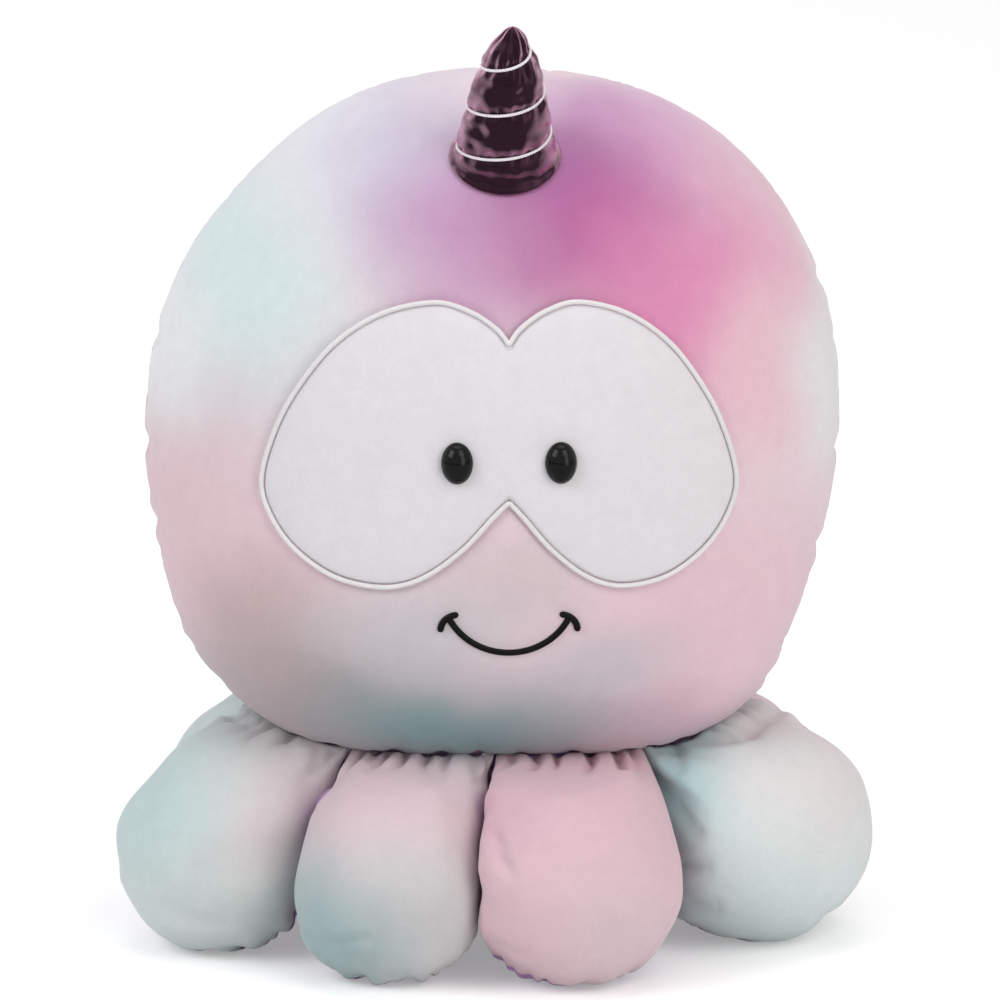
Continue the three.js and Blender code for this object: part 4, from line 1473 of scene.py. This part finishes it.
def dressed_arm(arm, side, neighbours, seed):
    """An arm's outer (1) or inner (-1) panel, pressed by what it touches, then folded and gathered."""
    sizes = settings("arm")
    grid, turns = arm_grid(arm, side)
    centre_line = grid.mean(axis=1, keepdims=True)
    grid = pressed_arm(arm, grid, neighbours, MM)
    normals = outward_normals(grid, centre_line, closed=False)
    across = np.cumsum(steps_between(grid, 1), axis=1)
    from_seam = np.minimum(across, across[:, -1:] - across)
    from_root = np.cumsum(steps_between(grid, 0), axis=0)
    offset = grid - arm.foot
    along = (np.arctan2(offset @ arm.wide, offset @ arm.along) + math.pi) * arm.radius
    run = 2 * math.pi * arm.radius
    puckers = scattered_folds(seed, sizes.puckers, run, *ARM_FOLD)
    grown = np.clip(from_root / FOLD_RUN, 0, 1)
    rolled = rolled_depth(from_seam, settings("cloth").seam_roll)
    depth = rolled * np.clip(from_root / ROLL_RUN, ROOT_ROLL, 1)
    depth += ARM_FOLD_GAIN * fold_depth(along, from_seam, puckers, run) * grown
    gathers = gather_depth(seed + 1, (1 + np.cos(turns)) / 2, from_root)
    depth += gathers * np.clip(from_root / PLEAT_RUN, 0, 1)
    depth -= soft_lumps(grid, seed + 2, ARM_LUMP_HEIGHT, ARM_LUMP) * grown
    if side > 0:
        depth += crease_depth(arm, grid)
    grid = pressed_arm(arm, grid - normals * depth[..., None], neighbours, 0.1 * MM)
    return grid, outward_normals(grid, centre_line, closed=False)


# Operators

# Where the camera looks, and where the lights point
CAMERA_AIM = (2.5 * MM, 0, 212.8 * MM)
LIGHT_AIM = (0, 0, 200 * MM)
# Name, power in watts, width and height, place, colour
LIGHTS = [
    ("key", 20, 1.5, 1.5, (1.4, -1.6, 2.1), "#fffaf6"),
    ("fill", 30, 1.6, 1.6, (-1.9, -1.2, 1.9), "#fbfbff"),
    ("top", 17, 1.8, 1.8, (0.1, 0.3, 2.4), "#ffffff"),
    ("back", 8, 1.8, 1.8, (-0.4, 2.3, 1.4), "#ffffff"),
    ("window", 8, 0.9, 1.3, (1.34, -1.48, 0.45), "#ffffff"),
]
# The room's light on the toy, and how much brighter than lit the camera sees the paper
ROOM_STRENGTH = 0.3
PAPER_GLOW = 0.3
# Half of the paper's side
PAPER_HALF = 9


class PLUSH_OT_stage(Operator):
    """Set the camera, the lights and the paper floor"""

    bl_idname = "plush.stage"
    bl_label = "Stage"

    def execute(self, context):
        stage = settings("stage")
        scene = context.scene
        scene.view_settings.view_transform = "Standard"
        aim = Vector(CAMERA_AIM)
        back = Vector((0, -math.cos(stage.elevation), math.sin(stage.elevation)))
        camera_data = bpy.data.cameras.new("camera")
        camera_data.lens = camera_data.sensor_width * stage.distance / stage.frame_size
        camera_data.clip_end = 100
        camera = bpy.data.objects.new("camera", camera_data)
        camera.location = aim + back * stage.distance
        camera.rotation_euler = (math.pi / 2 - stage.elevation, 0, 0)
        scene.collection.objects.link(camera)
        scene.camera = camera

        for name, power, wide, high, place, tone in LIGHTS:
            light_data = bpy.data.lights.new(name, "AREA")
            light_data.shape = "RECTANGLE"
            light_data.energy = power
            light_data.size = wide
            light_data.size_y = high
            light_data.color = linear(tone)
            light = bpy.data.objects.new(name, light_data)
            light.location = place
            facing = Vector(place) - Vector(LIGHT_AIM)
            light.rotation_euler = facing.to_track_quat("Z", "Y").to_euler()
            scene.collection.objects.link(light)

        world = bpy.data.worlds.new("studio")
        world.use_nodes = True
        tree = world.node_tree
        tree.nodes.clear()
        path = add_node(tree, "ShaderNodeLightPath")
        either = maths(tree, "MAXIMUM", path.outputs["Is Camera Ray"], path.outputs["Is Transmission Ray"])
        seen = maths(tree, "MAXIMUM", either, path.outputs["Is Glossy Ray"])
        room = add_node(tree, "ShaderNodeBackground", {"Color": (1, 1, 1, 1), "Strength": ROOM_STRENGTH})
        drop = add_node(tree, "ShaderNodeBackground", {"Color": opaque(stage.backdrop), "Strength": 1.0})
        both = add_node(tree, "ShaderNodeMixShader", {0: seen, 1: room.outputs[0], 2: drop.outputs[0]})
        add_node(tree, "ShaderNodeOutputWorld", {"Surface": both.outputs[0]})
        scene.world = world

        paper, tree, place = new_material("matt paper")
        # Paper is lit as it lies; only the camera sees it a little brighter, so that it meets the backdrop
        path = add_node(tree, "ShaderNodeLightPath")
        surfaced(paper, {
            "Base Color": worn(tree, grain(tree, place, 3 * MM), stage.floor, 0.985),
            "Roughness": 0.9,
            "Emission Color": (1, 1, 1, 1),
            "Emission Strength": maths(tree, "MULTIPLY", path.outputs["Is Camera Ray"], PAPER_GLOW),
        })
        low, high = -PAPER_HALF, PAPER_HALF
        corners = [(low, low, 0), (high, low, 0), (high, high, 0), (low, high, 0)]
        floor = mesh_piece("floor", corners, [(0, 1, 2, 3)], paper)
        return {"FINISHED"}


class PLUSH_OT_head(Operator):
    """Sew the front, back and base panels of the head"""

    bl_idname = "plush.head"
    bl_label = "Head"

    def execute(self, context):
        cloth = settings("cloth")
        # The head's clouds paint shade low on the head and sheen along its sides, over its dye
        head_velour_with_painted_shade = velour("dyed velour head", linear(HEAD_GROUND), HEAD_CLOUDS)
        lining = lilac_velour()
        for name, facing, nodes in (
            ("head_front_cloth", -1, ("head_front_panel", "head_stuffing")),
            ("head_back_cloth", 1, ("head_back_panel",)),
        ):
            grid = dressed_panel(facing)
            normals = outward_normals(grid, head_centre(), closed=True)
            piece = shell(name, grid, normals, cloth.thickness, head_velour_with_painted_shade, closed=True)
            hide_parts(*nodes)
            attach(piece, "head")
        grid = base_grid()
        along, away, run = seam_measures(grid)
        normals = outward_normals(grid, head_centre(), closed=True)
        folds = scattered_folds(23, BASE_FOLDS, run, *BASE_FOLD)
        depth = rolled_depth(away, cloth.seam_roll) + fold_depth(along, away, folds, run)
        grid = grid - normals * depth[..., None]
        normals = outward_normals(grid, head_centre(), closed=True)
        piece = shell("base_cloth", grid, normals, cloth.thickness, lining, closed=True)
        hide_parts("base_panel")
        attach(piece, "head")
        return {"FINISHED"}


# Between the patch and the head, and how its edge turns in: over what length, and by what share
PATCH_GAP = 0.3 * MM
PATCH_ROLL = 3 * MM
PATCH_TURN = 0.5


class PLUSH_OT_face(Operator):
    """Lay on the eye patch with its satin border, and stitch the smile"""

    bl_idname = "plush.face"
    bl_label = "Face"

    def execute(self, context):
        face = settings("face")
        outline = patch_line()
        centre = np.array([face.middle, face.level + 0.05 * face.half_height])
        rows = np.concatenate([np.linspace(0, 0.94, 40)[:-1], np.linspace(0.94, 1, 6)])
        places = centre + (outline - centre)[None, :, :] * rows[:, None, None]
        lift = PATCH_GAP + face.thickness
        grid = face_grid(places[..., 0], places[..., 1], lift)
        _, away, _ = seam_measures(grid)
        grid[..., 1] += PATCH_TURN * rolled_depth(away, PATCH_ROLL)
        normals = outward_normals(grid, head_centre(), closed=True)
        white = velour("white velour", face.white)
        patch = shell("eye_patch_cloth", grid, normals, face.thickness * 0.9, white, closed=True)
        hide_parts("eye_patch")
        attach(patch, "head")

        thread = satin_stitch("white rayon satin stitch", list(face.border), 0.45, 0.5)
        border = [satin_tube(f"border_{side}", border_line(side), face.border_width,
                             face.border_rise, face.border_seat, thread)
                  for side in (-1, 1)]
        joined = join_pieces("eye_patch_satin_border", border)
        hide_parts("eye_patch_border")
        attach(joined, "head")

        ink = satin_stitch("black rayon satin stitch", list(face.ink), 0.5, 0.12)
        strokes = [satin_tube(f"stroke_{index}", line, face.stroke, face.stroke_rise, face.stroke_seat, ink)
                   for index, line in enumerate(smile_lines())]
        smile = join_pieces("smile_satin_stitch", strokes)
        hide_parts("smile_stitching")
        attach(smile, "head")
        return {"FINISHED"}


def join_pieces(name, pieces):
    """Several meshes as one piece."""
    build = bmesh.new()
    for piece in pieces:
        build.from_mesh(piece.data)
    mesh = bpy.data.meshes.new(name)
    build.to_mesh(mesh)
    build.free()
    mesh.materials.append(pieces[0].data.materials[0])
    for piece in pieces:
        bpy.data.objects.remove(piece)
    joined = bpy.data.objects.new(name, mesh)
    bpy.context.scene.collection.objects.link(joined)
    return joined


# The eye's edge lies this far off the head, on the patch
EYE_SEAT = 1.8 * MM
# From the eye's edge in under it to the end of its shank: share of its radius, and depth (mm)
EYE_BACK = [(1.0, 0.8), (0.93, 1.5), (0.6, 1.2), (0.3, 1.2), (0.3, 9), (0.0, 9)]


class PLUSH_OT_eyes(Operator):
    """Snap in the two moulded eyes"""

    bl_idname = "plush.eyes"
    bl_label = "Eyes"

    def execute(self, context):
        gloss = moulded_plastic("black moulded ABS", list(settings("face").eye), 0.05, 0.18)
        white = moulded_plastic("natural polyethylene", linear("#ece9e2"), 0.45, 0.5)
        for node in ("left_eye", "right_eye"):
            half_width, half_height = span(node, "x") / 2, span(node, "z") / 2
            x, z = middle(node, "x"), middle(node, "z")
            seat = float(face_front(np.array(x), np.array(z), EYE_SEAT))
            front = corner(node, 0, "y")
            # From the tip of the dome to its edge, then in under it to the shank
            rise = seat - front
            angles = np.linspace(0, math.pi / 2, 25)
            profile = [(math.sin(a), -math.cos(a) * rise) for a in angles]
            profile += [(out, depth * MM) for out, depth in EYE_BACK]
            turns = np.linspace(0, 2 * math.pi, 65)[:-1]
            sections = []
            for out, depth in profile[1:-1]:
                across = x + half_width * out * np.cos(turns)
                up = z + half_height * out * np.sin(turns)
                sections.append(np.stack([across, np.full_like(turns, seat + depth), up], axis=-1))
            eye = tube(f"{node}_moulding", sections, gloss)
            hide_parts(node)
            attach(eye, "head")
        for node in ("left_eye_washer", "right_eye_washer"):
            washer = bpy.data.objects[node]
            washer.data.materials.clear()
            washer.data.materials.append(white)
        return {"FINISHED"}


FOIL_THICKNESS = 1.2 * MM
# How far the hem sits into the pile of the head, and how softly
HORN_SINK = -0.4 * MM
HORN_SOFTNESS = 0.3 * MM
# The cord: its plies, the length of one twist, the steps along it, its seat in shares of its width,
# and how much its plies run into each other
CORD_PLIES = 3
CORD_LAY = 5 * MM
CORD_STEPS = 760
CORD_SEAT = 0.42
PLY_OVERLAP = 1.15


class PLUSH_OT_horn(Operator):
    """Cover the horn in foil and wind its cord, and hide its stuffing"""

    bl_idname = "plush.horn"
    bl_label = "Horn"

    def execute(self, context):
        horn = settings("horn")
        place = horn_frame()
        grid = in_frame(horn_grid(place), place)
        grid = held_off_head(grid, HORN_SINK, HORN_SOFTNESS)
        inside = in_frame(np.array([0, 0, horn.length / 2]), place)
        normals = outward_normals(grid, inside, closed=True)
        # The foil's second colour is its painted sheen at a slant
        foil = foil_cloth("plum foil cloth", list(horn.foil), list(horn.foil_painted_sheen))
        cover = shell("horn_foil_cover", grid, normals, FOIL_THICKNESS, foil, closed=True)
        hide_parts("horn_cover", "horn_stuffing")
        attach(cover, "head")

        turns = horn.cord_from + np.linspace(0, horn.cord_turns * 2 * math.pi, CORD_STEPS)
        height = cord_height(turns)
        drawn = horn.sink * cord_nearness(height, turns % (2 * math.pi), CORD_REACH)
        centre = horn_points(turns, horn_radius(height) - drawn + CORD_SEAT * horn.cord_width, height)
        ahead = unit(np.gradient(centre, axis=0))
        out = unit(centre * np.array([1, 1, 0]))
        up = unit(np.cross(ahead, out))
        run = np.concatenate([[0], np.cumsum(np.linalg.norm(np.diff(centre, axis=0), axis=-1))])
        ply_radius = horn.cord_width / 4
        yarn = twisted_yarn("white viscose cord", list(horn.cord))
        plies = []
        for ply in range(CORD_PLIES):
            phase = 2 * math.pi * (run / CORD_LAY + ply / CORD_PLIES)
            core = centre + (out * np.cos(phase)[:, None] + up * np.sin(phase)[:, None]) * ply_radius
            sections = [core + (out * math.cos(angle) + up * math.sin(angle)) * ply_radius * PLY_OVERLAP
                        for angle in np.linspace(0, 2 * math.pi, 9)[:-1]]
            plies.append(tube(f"ply_{ply}", in_frame(np.stack(sections, axis=1), place), yarn))
        cord = join_pieces("horn_twisted_cord", plies)
        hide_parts("horn_cord")
        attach(cord, "head")
        return {"FINISHED"}


class PLUSH_OT_arms(Operator):
    """Sew and gather the eight arms, and hide their stuffing"""

    bl_idname = "plush.arms"
    bl_label = "Arms"

    def execute(self, context):
        cloth = settings("cloth")
        arms = [Arm(name) for name in ARM_SHARES]
        planes = [pressed_plane(arm, arms[(index + 1) % len(arms)]) for index, arm in enumerate(arms)]
        for index, arm in enumerate(arms):
            neighbours = (planes[index - 1], planes[index])
            ground, clouds = ARM_CLOUDS[arm.name]
            outer_velour = velour(f"dyed velour {arm.name}", linear(ground), clouds)
            for side, kind, material, slot in (
                (1, "outer", outer_velour, "arm_plush"),
                (-1, "inner", lilac_velour(), "lilac_plush"),
            ):
                grid, normals = dressed_arm(arm, side, neighbours, 100 + index * 10)
                piece = shell(f"{arm.name}_arm_{kind}_cloth", grid, normals, cloth.thickness, material)
                nodes = [f"{arm.name}_arm_{kind}_panel"]
                if side > 0:
                    nodes.append(f"{arm.name}_arm_stuffing")
                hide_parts(*nodes)
                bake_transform(piece)
        return {"FINISHED"}


STEPS = (PLUSH_OT_stage, PLUSH_OT_head, PLUSH_OT_face, PLUSH_OT_eyes, PLUSH_OT_horn, PLUSH_OT_arms)


class PLUSH_PT_panel(Panel):
    """The steps that sew the toy"""

    bl_label = "Plush Octopus"
    bl_idname = "PLUSH_PT_panel"
    bl_space_type = "VIEW_3D"
    bl_region_type = "UI"
    bl_category = "Plush Octopus"

    def draw(self, context):
        for step in STEPS:
            self.layout.operator(step.bl_idname)
        for group in SETTINGS:
            box = self.layout.box()
            box.label(text=group.capitalize())
            values = settings(group)
            for name in values.__annotations__:
                box.prop(values, name)


def register():
    for group, cls in SETTINGS.items():
        bpy.utils.register_class(cls)
        setattr(bpy.types.Scene, f"plush_{group}", PointerProperty(type=cls))
    for cls in (*STEPS, PLUSH_PT_panel):
        bpy.utils.register_class(cls)


def unregister():
    for cls in reversed((*STEPS, PLUSH_PT_panel)):
        bpy.utils.unregister_class(cls)
    for group, cls in reversed(SETTINGS.items()):
        delattr(bpy.types.Scene, f"plush_{group}")
        bpy.utils.unregister_class(cls)


def main():
    register()
    for step in STEPS:
        family, action = step.bl_idname.split(".")
        getattr(getattr(bpy.ops, family), action)()


if __name__ == "__main__":
    main()
